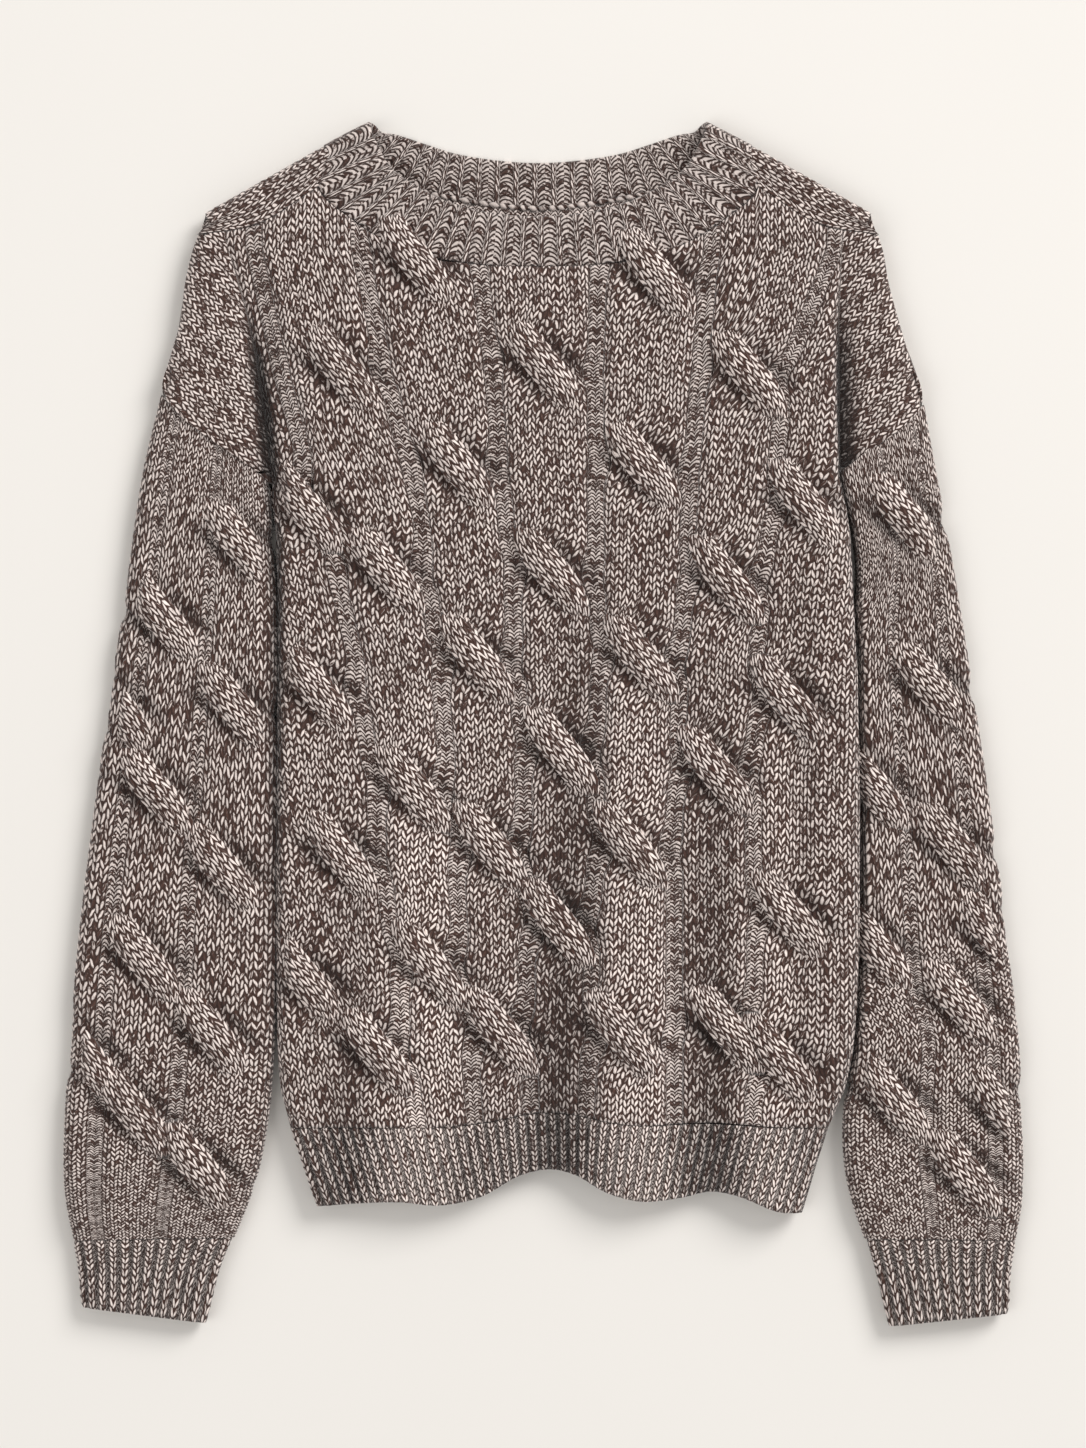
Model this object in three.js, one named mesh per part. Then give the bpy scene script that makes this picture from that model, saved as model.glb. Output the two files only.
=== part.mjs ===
// Cable knit crew-neck sweater laid flat on its back, its sleeves straight down beside the body.
// Millimetres. X runs to the right of the front, Y towards the neck, Z up off the surface.
// Every piece is a knitted wall with a plain inside; cables and ribs are raised in its outer points.

import * as THREE from 'three';

// Driving dimensions
const WALL = 3;                    // cloth between the cables
const SEAM_GAP = 0.3;              // between two pieces that are joined
const ROW_GAP = 0.45;              // between the body and the ribs knitted on to it
const ARMHOLE_GAP = 0.4;           // between a sleeve and the armhole it is set into
const NECK_GAP = 0.85;             // between the linked neckband and the panels
const BEND = 7;                    // from the middle of the body's thickness to the middle of a panel
const MIDDLE = BEND + WALL / 2;    // height of the side seams above the surface
const PLAIN_INSET = 0.3;           // rows by which the plain inside stops short of a piece's edge
const EDGE_ROUND = 12;             // how far in from a fold the cloth reaches its full height
const SLEEVE_TOP = 15;             // height of a sleeve between its cables
const CUFF_TOP = 13;
const BAND_RIB = 1.4;              // how far a rib stands up, neckband
const HEM_RIB = 1.3;               // and at hem and cuffs
const HEM_TOP = -246;              // y of the row where the body changes to the ribbed hem
const HEM_RIBS = 52;
const BACK_HEM_SHORT = 2;          // the back hem lies a little inside the front one
const CUFF_RIBS = 13;
const BAND_RIBS = 54;              // ribs all round the neck
const NECK_CENTRE = -3;            // x of the middle of the neck

// Relief of the cable pattern
const SWELL = 2.2;                 // a cable column stands proud of the purl gutters beside it
const STRAND = 3;                  // the crossing strand on top of that
const STRAND_HALF_WIDTH = 12;
const STRAND_HALF_LENGTH = 34;
const STRAND_SLOPE = THREE.MathUtils.degToRad(-50);   // all strands run down to the right
const NOTCH = 1.6;                 // the dip beside a crossing, where the wales draw together
const NOTCH_AWAY = 20.4;           // from the middle of the strand to the middle of that dip
const NOTCH_HALF_WIDTH = 6;
const SIDE_SWELL = 0.6;            // share of the swell on the plain knit outside the outer columns

const COLOURS = { front: 0x8f8580, back: 0x857b76, sleeve: 0x8c827d, rib: 0x7d736e };

// Half outlines of the body, from the hem to the underarm, in columns x, y
const SIDE_COLUMNS = {
  left: [[-154, -246], [-160, -223], [-162, -199], [-163, -140], [-163, -46], [-162, 30], [-162, 76],
    [-163, 118], [-169, 149]],
  right: [[174, -246], [184, -223], [189, -199], [192.5, -140], [193, -46], [191.5, 30], [189, 76],
    [187, 118], [182, 154]],
};
const HEM_SIDE_COLUMNS = {
  left: [[-154, -246], [-146, -270], [-138, -294]],
  right: [[174, -246], [166, -270], [158, -298]],
};
// From the top of the armhole round the drop shoulder to the forward shoulder seam
const DROP_COLUMNS = {
  left: [[-231.5, 201], [-227, 225], [-221, 246], [-218, 268], [-213, 289], [-208, 296.5]],
  right: [[231, 195], [223, 225], [217, 246], [210, 268], [206, 289], [202, 296.5]],
};
const SHOULDER_FOLD_TIP = { left: [-206, 311], right: [200, 311] };
// Forward shoulder seam from the drop shoulder to the neck, left side; the right one mirrors its middle
const SHOULDER_SEAM = {
  left: [[-208, 296.5], [-174.5, 304], [-137, 327]],
  right: [[202, 296.5], [168.5, 304], [131, 327]],
};
// Lower edge of the hem, which waves over the flutes of the body
const HEM_EDGE = [[-138, -294], [-112, -292], [-87, -291], [-63, -293], [-38, -288], [-14, -275],
  [4, -271.5], [20, -275], [38, -285], [59, -290.5], [84, -288.5], [102, -285], [120, -288],
  [143, -297], [158, -298]];
// The same flutes lift the top of the ribs a little
const HEM_TOP_WAVES = [{ x: 3, width: 38, rise: 9 }, { x: 100, width: 32, rise: 3 }];

// Neckband, from the middle of the front round the left to the middle of the back.
// Columns: seam x, seam y, edge x, edge y
const BAND_FRONT_ROWS = [
  [-3, 279, -3, 308.5], [-35, 280, -31, 310.5], [-69, 285, -57, 317], [-96, 294.5, -75, 325.5],
  [-118, 309, -88, 334], [-130.5, 318.5, -93, 338.5], [-136.5, 327, -97.5, 344.5],
  [-135.3, 337.5, -101.5, 353],
];
const BAND_BACK_ROWS = [
  [-111.5, 338, -90, 360], [-87, 329.5, -72, 354], [-53.5, 322, -50.5, 347.5], [-3, 316, -3, 342.5],
];
const NECK_FOLD = { seam: [-132.5, 352.5], edge: [-105.5, 366.5] };

// Sleeves from the armhole to the cuff. Columns: outer x, outer y, inner x, inner y
const SLEEVE_ROWS = {
  left: [[-231.5, 201, -169, 149], [-241.5, 155, -169, 112], [-252, 82, -166.5, 60],
    [-263.5, 5.5, -165, -7], [-273.5, -69.5, -165.5, -77], [-281, -132, -165.5, -138],
    [-286, -193, -166.5, -196], [-289, -235, -170, -238], [-290, -269, -176, -271],
    [-288.5, -293, -183, -293.5], [-285, -315, -190, -313]],
  right: [[231, 195, 182, 154], [237.5, 155, 190, 114], [244, 118, 192, 86], [252, 70, 181, 56],
    [259.5, 22, 178, 16], [268, -35, 178, -38], [275.5, -88, 178, -90], [281.5, -135, 177.5, -138],
    [284.5, -162, 180, -163], [287.5, -192, 190.5, -190], [289.5, -225, 187, -225],
    [290.5, -248, 185.5, -248], [290.5, -271, 187, -271], [290, -293, 191.5, -293.5],
    [287, -315, 198, -314]],
};
const CUFF_ROWS = {
  left: [[-285, -315, -190, -313], [-282, -331, -197.5, -331], [-280, -356, -206, -365.5]],
  right: [[287, -315, 198, -314], [284, -331, 203, -331], [282.5, -360, 211.5, -367.5]],
};

// Middles of the cable crossings down each cable column, in columns x, y
const BODY_CABLES = [
  [[-151, -154]],
  [[-145, 132], [-138, 22], [-123, -79], [-101, -199]],
  [[-123, 217], [-95, 94], [-79, -39], [-69, -146]],
  [[-77, 282], [-52, 158], [-40, 40], [-32, -74], [-26, -187]],
  [[0, 219], [5, 93], [11, -16], [9, -121]],
  [[69, 274], [61, 158], [60, 40], [53, -74], [48, -189]],
  [[126, 213], [112, 88], [105, -28], [112, -185]],
  [[164, 134], [149, 15], [150, -116], [144, -204]],
];
const SLEEVE_CABLES = {
  left: [[[-260, 11], [-281, -199]], [[-232, 65], [-236, -41], [-243, -143], [-249, -236]],
    [[-184, 110], [-188, 11], [-195, -88], [-202, -188], [-210, -270]]],
  right: [[[200, -37], [202, -135], [214, -229]],
    [[221, 126], [236, 24], [250, -74], [254, -169], [257, -273]], [[276, -130], [281, -235]]],
};

// The right side of the body lies over a strip of that sleeve, which is pressed flat under it.
// Columns: y, share of the lift
const TUCK_LIFT = 7.4;
const TUCK_STRIP = 17;             // width of the body that lies on the sleeve
const TUCK_SLOPE = 26;             // over which the body comes back down to the surface
const TUCK_ROWS = [[-246, 0], [-177, 1], [88, 1], [154, 0]];
const PRESSED_TOP = 6.8;           // height of the sleeve where the body lies on it
const PRESSED_RISE = 1.5;          // how steeply it comes up beside the body

// Folds of the laid cloth: a soft ridge (rise above 0) or trough along a line. Those that reach the hem
// stay open there, the short ones close at both ends.
const FOLDS_OPEN_BELOW = -250;
const FOLD_END = 0.08;             // share of a short fold's length over which it closes
const FOLDS = [
  { from: [24, 90], to: [8, -275], width: 17, rise: -4 },
  { from: [56, 60], to: [58, -290], width: 20, rise: 2.5 },
  { from: [104, 40], to: [104, -285], width: 18, rise: -3.5 },
  { from: [138, 20], to: [134, -290], width: 18, rise: 2 },
  { from: [-70, -60], to: [-84, -290], width: 24, rise: 2.2 },
  { from: [-188, 290], to: [-166, 185], width: 11, rise: -3 },
  { from: [181, 270], to: [183, 185], width: 11, rise: -3 },
];

const { clamp, lerp } = THREE.MathUtils;

function curveThrough(rows, column = 0) {
  const points = rows.map((row) => new THREE.Vector3(row[column], row[column + 1], 0));
  return new THREE.CatmullRomCurve3(points, false, 'centripetal');
}

// Distance from a point to the line between two others, and how far along it the nearest point lies
function nearLine(x, y, [x1, y1], [x2, y2]) {
  const span = (x2 - x1) ** 2 + (y2 - y1) ** 2;
  const along = clamp(((x - x1) * (x2 - x1) + (y - y1) * (y2 - y1)) / span, 0, 1);
  return { along, distance: Math.hypot(x - lerp(x1, x2, along), y - lerp(y1, y2, along)) };
}

// A table read as a broken line: y for any x
function heightOn(rows, x) {
  const found = rows.findIndex((row) => row[0] > x);
  const upper = found < 0 ? rows.length - 1 : Math.max(found, 1);
  const [x1, y1] = rows[upper - 1];
  const [x2, y2] = rows[upper];
  return lerp(y1, y2, clamp((x - x1) / (x2 - x1), 0, 1));
}

// y of the row where the ribs begin
function hemTop(x) {
  const lift = (wave) => wave.rise * Math.exp(-(((x - wave.x) / wave.width) ** 2));
  return HEM_TOP_WAVES.reduce((y, wave) => y + lift(wave), HEM_TOP);
}

const FOLD_EDGES = [SIDE_COLUMNS.left, SIDE_COLUMNS.right, HEM_SIDE_COLUMNS.left, HEM_SIDE_COLUMNS.right,
  DROP_COLUMNS.left, DROP_COLUMNS.right];

function edgeDistance(x, y) {
  let nearest = Infinity;
  for (const edge of FOLD_EDGES) {
    for (let i = 1; i < edge.length; i += 1) {
      nearest = Math.min(nearest, nearLine(x, y, edge[i - 1], edge[i]).distance);
    }
  }
  return nearest;
}

// 0 on a folded edge, 1 where the cloth has its full height
function rise(distance) {
  const inward = 1 - clamp(distance / EDGE_ROUND, 0, 1);
  return Math.sqrt(1 - inward ** 2);
}

function foldHeight(x, y) {
  let height = 0;
  for (const fold of FOLDS) {
    const { along, distance } = nearLine(x, y, fold.from, fold.to);
    const closed = Math.sin(Math.PI * clamp(along, FOLD_END, 1 - FOLD_END));
    const fade = fold.to[1] > FOLDS_OPEN_BELOW ? closed : Math.sqrt(along);
    height += fold.rise * fade * Math.exp(-((distance / fold.width) ** 2));
  }
  return height;
}

function crossing(dx, dy) {
  const along = dx * Math.cos(STRAND_SLOPE) + dy * Math.sin(STRAND_SLOPE);
  const across = -dx * Math.sin(STRAND_SLOPE) + dy * Math.cos(STRAND_SLOPE);
  const length = clamp(1 - (along / STRAND_HALF_LENGTH) ** 2, 0, 1);
  const strand = STRAND * length * Math.exp(-((across / STRAND_HALF_WIDTH) ** 4));
  const notch = NOTCH * length * Math.exp(-(((Math.abs(across) - NOTCH_AWAY) / NOTCH_HALF_WIDTH) ** 2));
  return strand - notch;
}

function columnX(column, y) {
  const down = column.map(([x, rowY]) => [-rowY, x]);
  return down.length > 1 ? heightOn(down, -y) : down[0][1];
}

// Height of the cable pattern above the gutters
function cableHeight(cables, x, y) {
  const middles = cables.filter((column) => column.length > 1).map((column) => columnX(column, y));
  let swell = SIDE_SWELL;
  for (let i = 1; i < middles.length; i += 1) {
    if (x < middles[i - 1] || x > middles[i]) continue;
    const fromGutter = Math.abs(2 * (x - middles[i - 1]) / (middles[i] - middles[i - 1]) - 1);
    swell = 1 - (1 - fromGutter) ** 3;
  }
  let height = SWELL * swell;
  for (const [cx, cy] of cables.flat()) height += crossing(x - cx, y - cy);
  return Math.max(0, height);
}

const rightSideX = (y) => heightOn(SIDE_COLUMNS.right.map(([x, rowY]) => [rowY, x]), y);

// How far the body is lifted by the sleeve under its right side
function tuckLift(x, y) {
  const share = THREE.MathUtils.smoothstep(heightOn(TUCK_ROWS, y), 0, 1);
  const foot = rightSideX(y) - TUCK_STRIP - TUCK_SLOPE;
  return TUCK_LIFT * share * THREE.MathUtils.smoothstep(x, foot, foot + TUCK_SLOPE);
}

// Front of the body: height of its outer face
function frontHeight(x, y, relief) {
  const full = rise(edgeDistance(x, y));
  const half = Math.max(BEND * full, (WALL + SEAM_GAP) / 2);
  return MIDDLE + tuckLift(x, y) + half + WALL / 2 + full * (foldHeight(x, y) + relief);
}

// Back of the body: height of its middle, which turns up to meet the front at the side seams
const backBend = (x, y) => Math.max(BEND * rise(edgeDistance(x, y)), (WALL + SEAM_GAP) / 2);

function closedMesh(name, colour, points, triangles) {
  const spanned = ([a, b, c]) => points[a].dot(points[b].clone().cross(points[c]));
  const volume = triangles.reduce((sum, triangle) => sum + spanned(triangle), 0);
  const facing = volume > 0 ? triangles : triangles.map(([a, b, c]) => [a, c, b]);
  const geometry = new THREE.BufferGeometry().setFromPoints(points);
  geometry.setIndex(facing.flat());
  geometry.computeVertexNormals();
  const material = new THREE.MeshStandardMaterial({ color: colour, roughness: 0.95, metalness: 0 });
  const mesh = new THREE.Mesh(geometry, material);
  mesh.name = name;
  return mesh;
}

// Triangles between a fine run of points and a coarse one below it
function zip(fine, coarse, triangles) {
  const ratio = (fine.length - 1) / (coarse.length - 1);
  const turn = Math.ceil(ratio / 2);
  for (let m = 0; m + 1 < coarse.length; m += 1) {
    for (let q = 0; q < ratio; q += 1) {
      const foot = q < turn ? coarse[m] : coarse[m + 1];
      triangles.push([fine[m * ratio + q], foot, fine[m * ratio + q + 1]]);
    }
    triangles.push([fine[m * ratio + turn], coarse[m], coarse[m + 1]]);
  }
}

// A closed wall between an outer grid and an inner one that is plainer by a whole ratio.
// outer(i, j) and inner(i, j) take the outer grid's numbers; a tube closes on itself across.
function knittedWall(name, colour, { across, along, plain, tube = false }, outer, inner) {
  const points = [];
  const triangles = [];
  const [plainAcross, plainAlong] = plain;
  const grid = (stepAcross, stepAlong, place) => {
    const columns = across / stepAcross;
    const rows = along / stepAlong;
    const width = tube ? columns : columns + 1;
    const start = points.length;
    for (let j = 0; j <= rows; j += 1) {
      for (let i = 0; i < width; i += 1) points.push(place(i * stepAcross, j * stepAlong));
    }
    const at = (i, j) => start + j * width + (tube ? i % columns : i);
    return { columns, rows, at };
  };
  const skin = ({ columns, rows, at }, outward) => {
    for (let j = 0; j < rows; j += 1) {
      for (let i = 0; i < columns; i += 1) {
        const [a, b, c, d] = [at(i, j), at(i + 1, j), at(i + 1, j + 1), at(i, j + 1)];
        if (outward) triangles.push([a, b, c], [a, c, d]);
        else triangles.push([a, c, b], [a, d, c]);
      }
    }
  };
  const fine = grid(1, 1, outer);
  const within = (k, count) => clamp(k, PLAIN_INSET, count - PLAIN_INSET);
  const insideEdge = (i, j) => (tube ? inner(i, j) : inner(within(i, across), within(j, along)));
  const coarse = grid(plainAcross, plainAlong, insideEdge);
  skin(fine, true);
  skin(coarse, false);
  const run = (g, [i, j], count, [di, dj]) => {
    const steps = Array.from({ length: count + 1 }, (_, k) => k);
    return steps.map((k) => g.at(i + k * di, j + k * dj));
  };
  zip(run(fine, [0, 0], fine.columns, [1, 0]), run(coarse, [0, 0], coarse.columns, [1, 0]), triangles);
  zip(run(fine, [fine.columns, fine.rows], fine.columns, [-1, 0]),
    run(coarse, [coarse.columns, coarse.rows], coarse.columns, [-1, 0]), triangles);
  if (!tube) {
    zip(run(fine, [fine.columns, 0], fine.rows, [0, 1]),
      run(coarse, [coarse.columns, 0], coarse.rows, [0, 1]), triangles);
    zip(run(fine, [0, fine.rows], fine.rows, [0, -1]),
      run(coarse, [0, coarse.rows], coarse.rows, [0, -1]), triangles);
  }
  return closedMesh(name, colour, points, triangles);
}

// One boundary made of stretches, each with its own number of steps; place(k) gives its k-th point
function boundary(stretches) {
  const total = stretches.reduce((sum, stretch) => sum + stretch.steps, 0);
  const place = (k) => {
    let rest = clamp(k, 0, total);
    for (const stretch of stretches) {
      if (rest <= stretch.steps) return stretch.point(rest / stretch.steps);
      rest -= stretch.steps;
    }
    return stretches.at(-1).point(1);
  };
  return { total, place };
}

const along = (rows, steps) => {
  const curve = curveThrough(rows);
  return { steps, point: (u) => curve.getPointAt(u) };
};
const straight = (from, to, steps) => ({
  steps, point: (u) => new THREE.Vector3(lerp(from[0], to[0], u), lerp(from[1], to[1], u), 0),
});

// Points inside four boundaries, worked out from them alone
function patch(left, right, bottom, top) {
  const corners = [bottom.place(0), bottom.place(bottom.total), top.place(0), top.place(top.total)];
  return (i, j) => {
    const s = i / bottom.total;
    const t = j / left.total;
    const [p00, p10, p01, p11] = corners;
    return new THREE.Vector3()
      .addScaledVector(left.place(j), 1 - s).addScaledVector(right.place(j), s)
      .addScaledVector(bottom.place(i), 1 - t).addScaledVector(top.place(i), t)
      .addScaledVector(p00, -(1 - s) * (1 - t)).addScaledVector(p10, -s * (1 - t))
      .addScaledVector(p01, -(1 - s) * t).addScaledVector(p11, -s * t);
  };
}

const mirrored = (point) => new THREE.Vector3(2 * NECK_CENTRE - point.x, point.y, point.z);

// The shoulder fold, over which the back comes forward to the shoulder seam
const FOLD_START = new THREE.Vector2(...NECK_FOLD.seam);
const FOLD_WAY = new THREE.Vector2(...SHOULDER_FOLD_TIP.left).sub(FOLD_START).normalize();
const FOLD_OUT = new THREE.Vector2(FOLD_WAY.y, -FOLD_WAY.x);
const TURN = (Math.PI - 2) * BEND;
const FOLD_LEAN = 3;               // the band's ribs cross the fold this much out of square, each way

// Where a point at a distance along the fold and out from it lies, by its angle round the bend
function aroundFold(start, distance, angle) {
  const out = BEND * (Math.sin(angle) - 1);
  const plan = start.clone().addScaledVector(FOLD_WAY, distance).addScaledVector(FOLD_OUT, out);
  return new THREE.Vector3(plan.x, plan.y, MIDDLE - BEND * Math.cos(angle));
}

// The left half of a neckband edge, as points with the height of the band's middle
function bandHalf(column) {
  const start = new THREE.Vector2(...(column === 0 ? NECK_FOLD.seam : NECK_FOLD.edge));
  const turn = [1, 0.75, 0.5, 0.25, 0];
  const bend = turn.map((share) => aroundFold(start, FOLD_LEAN * (2 * share - 1), Math.PI * share));
  const front = BAND_FRONT_ROWS.map((row) => new THREE.Vector3(row[column], row[column + 1], MIDDLE + BEND));
  const back = BAND_BACK_ROWS.map((row) => new THREE.Vector3(row[column], row[column + 1], MIDDLE - BEND));
  return [...front, ...bend, ...back];
}

function closedBand(column) {
  const left = bandHalf(column);
  const right = left.slice(1, -1).reverse().map(mirrored);
  return new THREE.CatmullRomCurve3([...left, ...right], true, 'centripetal');
}

const BAND_SEAM = closedBand(0);
const BAND_EDGE = closedBand(2);
const BAND_STATIONS = 2 * (bandHalf(0).length - 1);
const CORNER_STATION = 6;                         // where the shoulder seam meets the band
const BACK_STATION = bandHalf(0).length - 1;      // middle of the back

// A point on the panels' side of the neck seam, by its station round the band
function neckSeam(station) {
  const t = ((station / BAND_STATIONS) % 1 + 1) % 1;
  const point = BAND_SEAM.getPoint(t);
  point.z = clamp(point.z, MIDDLE - BEND, MIDDLE + BEND);
  const outward = point.clone().sub(BAND_EDGE.getPoint(t)).setZ(0);
  return point.addScaledVector(outward.normalize(), NECK_GAP);
}

const SEAM_STEPS = 6;
const NECK_STEPS = 27;
const SIDE_STEPS = 39;
const ARMHOLE_STEPS = 6;
const DROP_STEPS = 12;

function bodySide(side, steps, extra = []) {
  const underarm = SIDE_COLUMNS[side].at(-1);
  const top = DROP_COLUMNS[side][0];
  return boundary([along(SIDE_COLUMNS[side], steps[0]), straight(underarm, top, steps[1]),
    along(DROP_COLUMNS[side], steps[2]), ...extra]);
}

function hemLine(total, shift) {
  const [from, to] = [SIDE_COLUMNS.left[0][0], SIDE_COLUMNS.right[0][0]];
  const point = (u) => {
    const x = lerp(from, to, u);
    const ends = Math.sin(Math.PI * u) ** 0.5;
    return new THREE.Vector3(x, lerp(HEM_TOP, hemTop(x), ends) + shift, 0);
  };
  return boundary([{ steps: total, point }]);
}

function frontPanel() {
  const steps = [SIDE_STEPS, ARMHOLE_STEPS, DROP_STEPS];
  const leftSeam = curveThrough(SHOULDER_SEAM.left);
  const rightSeam = curveThrough(SHOULDER_SEAM.right);
  const top = boundary([
    { steps: SEAM_STEPS, point: (u) => leftSeam.getPointAt(u) },
    { steps: NECK_STEPS, point: (u) => neckSeam(lerp(CORNER_STATION, -CORNER_STATION, u)).setZ(0) },
    { steps: SEAM_STEPS, point: (u) => rightSeam.getPointAt(1 - u) },
  ]);
  const left = bodySide('left', steps);
  const right = bodySide('right', steps);
  const place = patch(left, right, hemLine(top.total, ROW_GAP / 2), top);
  const outer = (i, j) => {
    const point = place(i, j);
    return point.setZ(frontHeight(point.x, point.y, cableHeight(BODY_CABLES, point.x, point.y)));
  };
  const inner = (i, j) => {
    const point = place(i, j);
    return point.setZ(frontHeight(point.x, point.y, 0) - WALL);
  };
  const size = { across: top.total, along: left.total, plain: [3, 3] };
  return knittedWall('front_panel', COLOURS.front, size, outer, inner);
}

// The back is laid out flat first, with the part that comes over the shoulders opened up,
// and each point is then taken round the shoulder fold.
function flatten(point) {
  const left = point.x < NECK_CENTRE;
  const folded = left ? point : mirrored(point);
  const plan = new THREE.Vector2(folded.x, folded.y).sub(FOLD_START);
  const way = plan.dot(FOLD_WAY);
  const out = plan.dot(FOLD_OUT);
  const over = folded.z > MIDDLE;
  let flat = over ? TURN - out : out;
  if (out > -BEND) flat = BEND * (Math.atan2(out + BEND, MIDDLE - folded.z) - 1);
  const open = FOLD_START.clone().addScaledVector(FOLD_WAY, way).addScaledVector(FOLD_OUT, flat);
  const result = new THREE.Vector3(open.x, open.y, 0);
  return left ? result : mirrored(result);
}

function foldedPoint(flat, side) {
  const left = flat.x < NECK_CENTRE;
  const open = left ? flat : mirrored(flat);
  const plan = new THREE.Vector2(open.x, open.y).sub(FOLD_START);
  const way = plan.dot(FOLD_WAY);
  const out = plan.dot(FOLD_OUT);
  const angle = clamp(out / BEND + 1, 0, Math.PI);
  const beyond = Math.max(0, out - (Math.PI - 1) * BEND);
  const turned = out < -BEND ? out : BEND * (Math.sin(angle) - 1) - beyond;
  const foldedPlan = FOLD_START.clone().addScaledVector(FOLD_WAY, way).addScaledVector(FOLD_OUT, turned);
  const middle = new THREE.Vector3(foldedPlan.x, foldedPlan.y, 0);
  const real = left ? middle : mirrored(middle);
  const bend = backBend(real.x, real.y);
  const normal = new THREE.Vector3(FOLD_OUT.x * Math.sin(angle), FOLD_OUT.y * Math.sin(angle), -Math.cos(angle));
  const lift = tuckLift(real.x, real.y);
  const result = middle.setZ(MIDDLE + lift - bend * Math.cos(angle)).addScaledVector(normal, side * WALL / 2);
  return left ? result : mirrored(result);
}

const BACK_STEPS = { side: 12, armhole: 2, drop: 4, turn: 6, seam: 6, flap: 8, neck: 8 };

function backPanel() {
  const over = (x, y) => flatten(new THREE.Vector3(x, y, MIDDLE + BEND));
  const turnAt = (side) => {
    const [fromX, fromY] = DROP_COLUMNS[side].at(-1);
    const [tipX, tipY] = SHOULDER_FOLD_TIP[side];
    const open = over(fromX, fromY + SEAM_GAP);
    const tip = flatten(new THREE.Vector3(tipX, tipY, MIDDLE));
    return along([[fromX, fromY], [tip.x, tip.y], [open.x, open.y]], BACK_STEPS.turn);
  };
  const seamAt = (side) => {
    const curve = curveThrough(SHOULDER_SEAM[side]);
    return (u) => {
      const point = curve.getPointAt(u);
      return over(point.x, point.y + SEAM_GAP);
    };
  };
  const leftSeam = seamAt('left');
  const rightSeam = seamAt('right');
  const foldEnd = BAND_FRONT_ROWS.length + 4;
  const around = (from, to, steps) => ({ steps, point: (u) => flatten(neckSeam(lerp(from, to, u))) });
  const top = boundary([
    { steps: BACK_STEPS.seam, point: leftSeam },
    around(CORNER_STATION, foldEnd, BACK_STEPS.flap),
    around(foldEnd, BACK_STATION, BACK_STEPS.neck),
    around(BACK_STATION, BAND_STATIONS - foldEnd, BACK_STEPS.neck),
    around(BAND_STATIONS - foldEnd, BAND_STATIONS - CORNER_STATION, BACK_STEPS.flap),
    { steps: BACK_STEPS.seam, point: (u) => rightSeam(1 - u) },
  ]);
  const steps = [BACK_STEPS.side, BACK_STEPS.armhole, BACK_STEPS.drop];
  const left = bodySide('left', steps, [turnAt('left')]);
  const right = bodySide('right', steps, [turnAt('right')]);
  const place = patch(left, right, hemLine(top.total, ROW_GAP / 2), top);
  const size = { across: top.total, along: left.total, plain: [2, 2] };
  return knittedWall('back_panel', COLOURS.back, size,
    (i, j) => foldedPoint(place(i, j), 1), (i, j) => foldedPoint(place(i, j), -1));
}

function hemEdge(steps, shift) {
  const curve = curveThrough(HEM_EDGE);
  return boundary([{ steps, point: (u) => curve.getPoint(u).add(new THREE.Vector3(0, shift, 0)) }]);
}

function hemPatch(total, rows, shift) {
  const leftTop = SIDE_COLUMNS.left[0];
  const rightTop = SIDE_COLUMNS.right[0];
  const end = (from, to) => straight(to, [from[0], from[1] - ROW_GAP / 2], rows);
  const hemLeft = HEM_EDGE[0];
  const hemRight = HEM_EDGE.at(-1);
  const left = boundary([end(leftTop, [hemLeft[0], hemLeft[1] + shift])]);
  const right = boundary([end(rightTop, [hemRight[0], hemRight[1] + shift])]);
  return patch(left, right, hemEdge(total, shift), hemLine(total, -ROW_GAP / 2));
}

function frontHem() {
  const columns = 2 * HEM_RIBS;
  const rows = 3;
  const place = hemPatch(columns, rows, 0);
  const outer = (i, j) => {
    const point = place(i, j);
    return point.setZ(frontHeight(point.x, point.y, i % 2 ? HEM_RIB : 0));
  };
  const inner = (i, j) => {
    const point = place(i, j);
    return point.setZ(frontHeight(point.x, point.y, 0) - WALL);
  };
  return knittedWall('front_hem_rib', COLOURS.rib, { across: columns, along: rows, plain: [4, 1] }, outer, inner);
}

function backHem() {
  const columns = 2 * (BACK_STEPS.seam + BACK_STEPS.flap + BACK_STEPS.neck);
  const rows = 2;
  const place = hemPatch(columns, rows, BACK_HEM_SHORT);
  const height = (point, side) => {
    const lift = tuckLift(point.x, point.y);
    return point.setZ(MIDDLE + lift - backBend(point.x, point.y) + side * WALL / 2);
  };
  return knittedWall('back_hem_rib', COLOURS.rib, { across: columns, along: rows, plain: [1, 1] },
    (i, j) => height(place(i, j), -1), (i, j) => height(place(i, j), 1));
}

// The most height that a sleeve has room for beside and under the right side of the body
function pressedTop(x, y) {
  if (x < 0 || y < TUCK_ROWS[0][0] || y > TUCK_ROWS.at(-1)[0]) return Infinity;
  const room = PRESSED_TOP + PRESSED_RISE * Math.max(0, x - rightSideX(y) - 1);
  const share = THREE.MathUtils.smoothstep(heightOn(TUCK_ROWS, y), 0, 1);
  return lerp(SLEEVE_TOP, room, share);
}

// Cross-section of a sleeve or cuff: the share across it and which layer, for each point round it
const TOP_POINTS = 16;
const CROWD = 0.5;                 // how far the points of the top crowd towards the folded edges
const START = 0.02;                // share of the way down at which the way along the sleeve is taken
const UNDER_SHARES = [1, 0.965, 0.9, 0.7, 0.5, 0.3, 0.1, 0.035];

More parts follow.
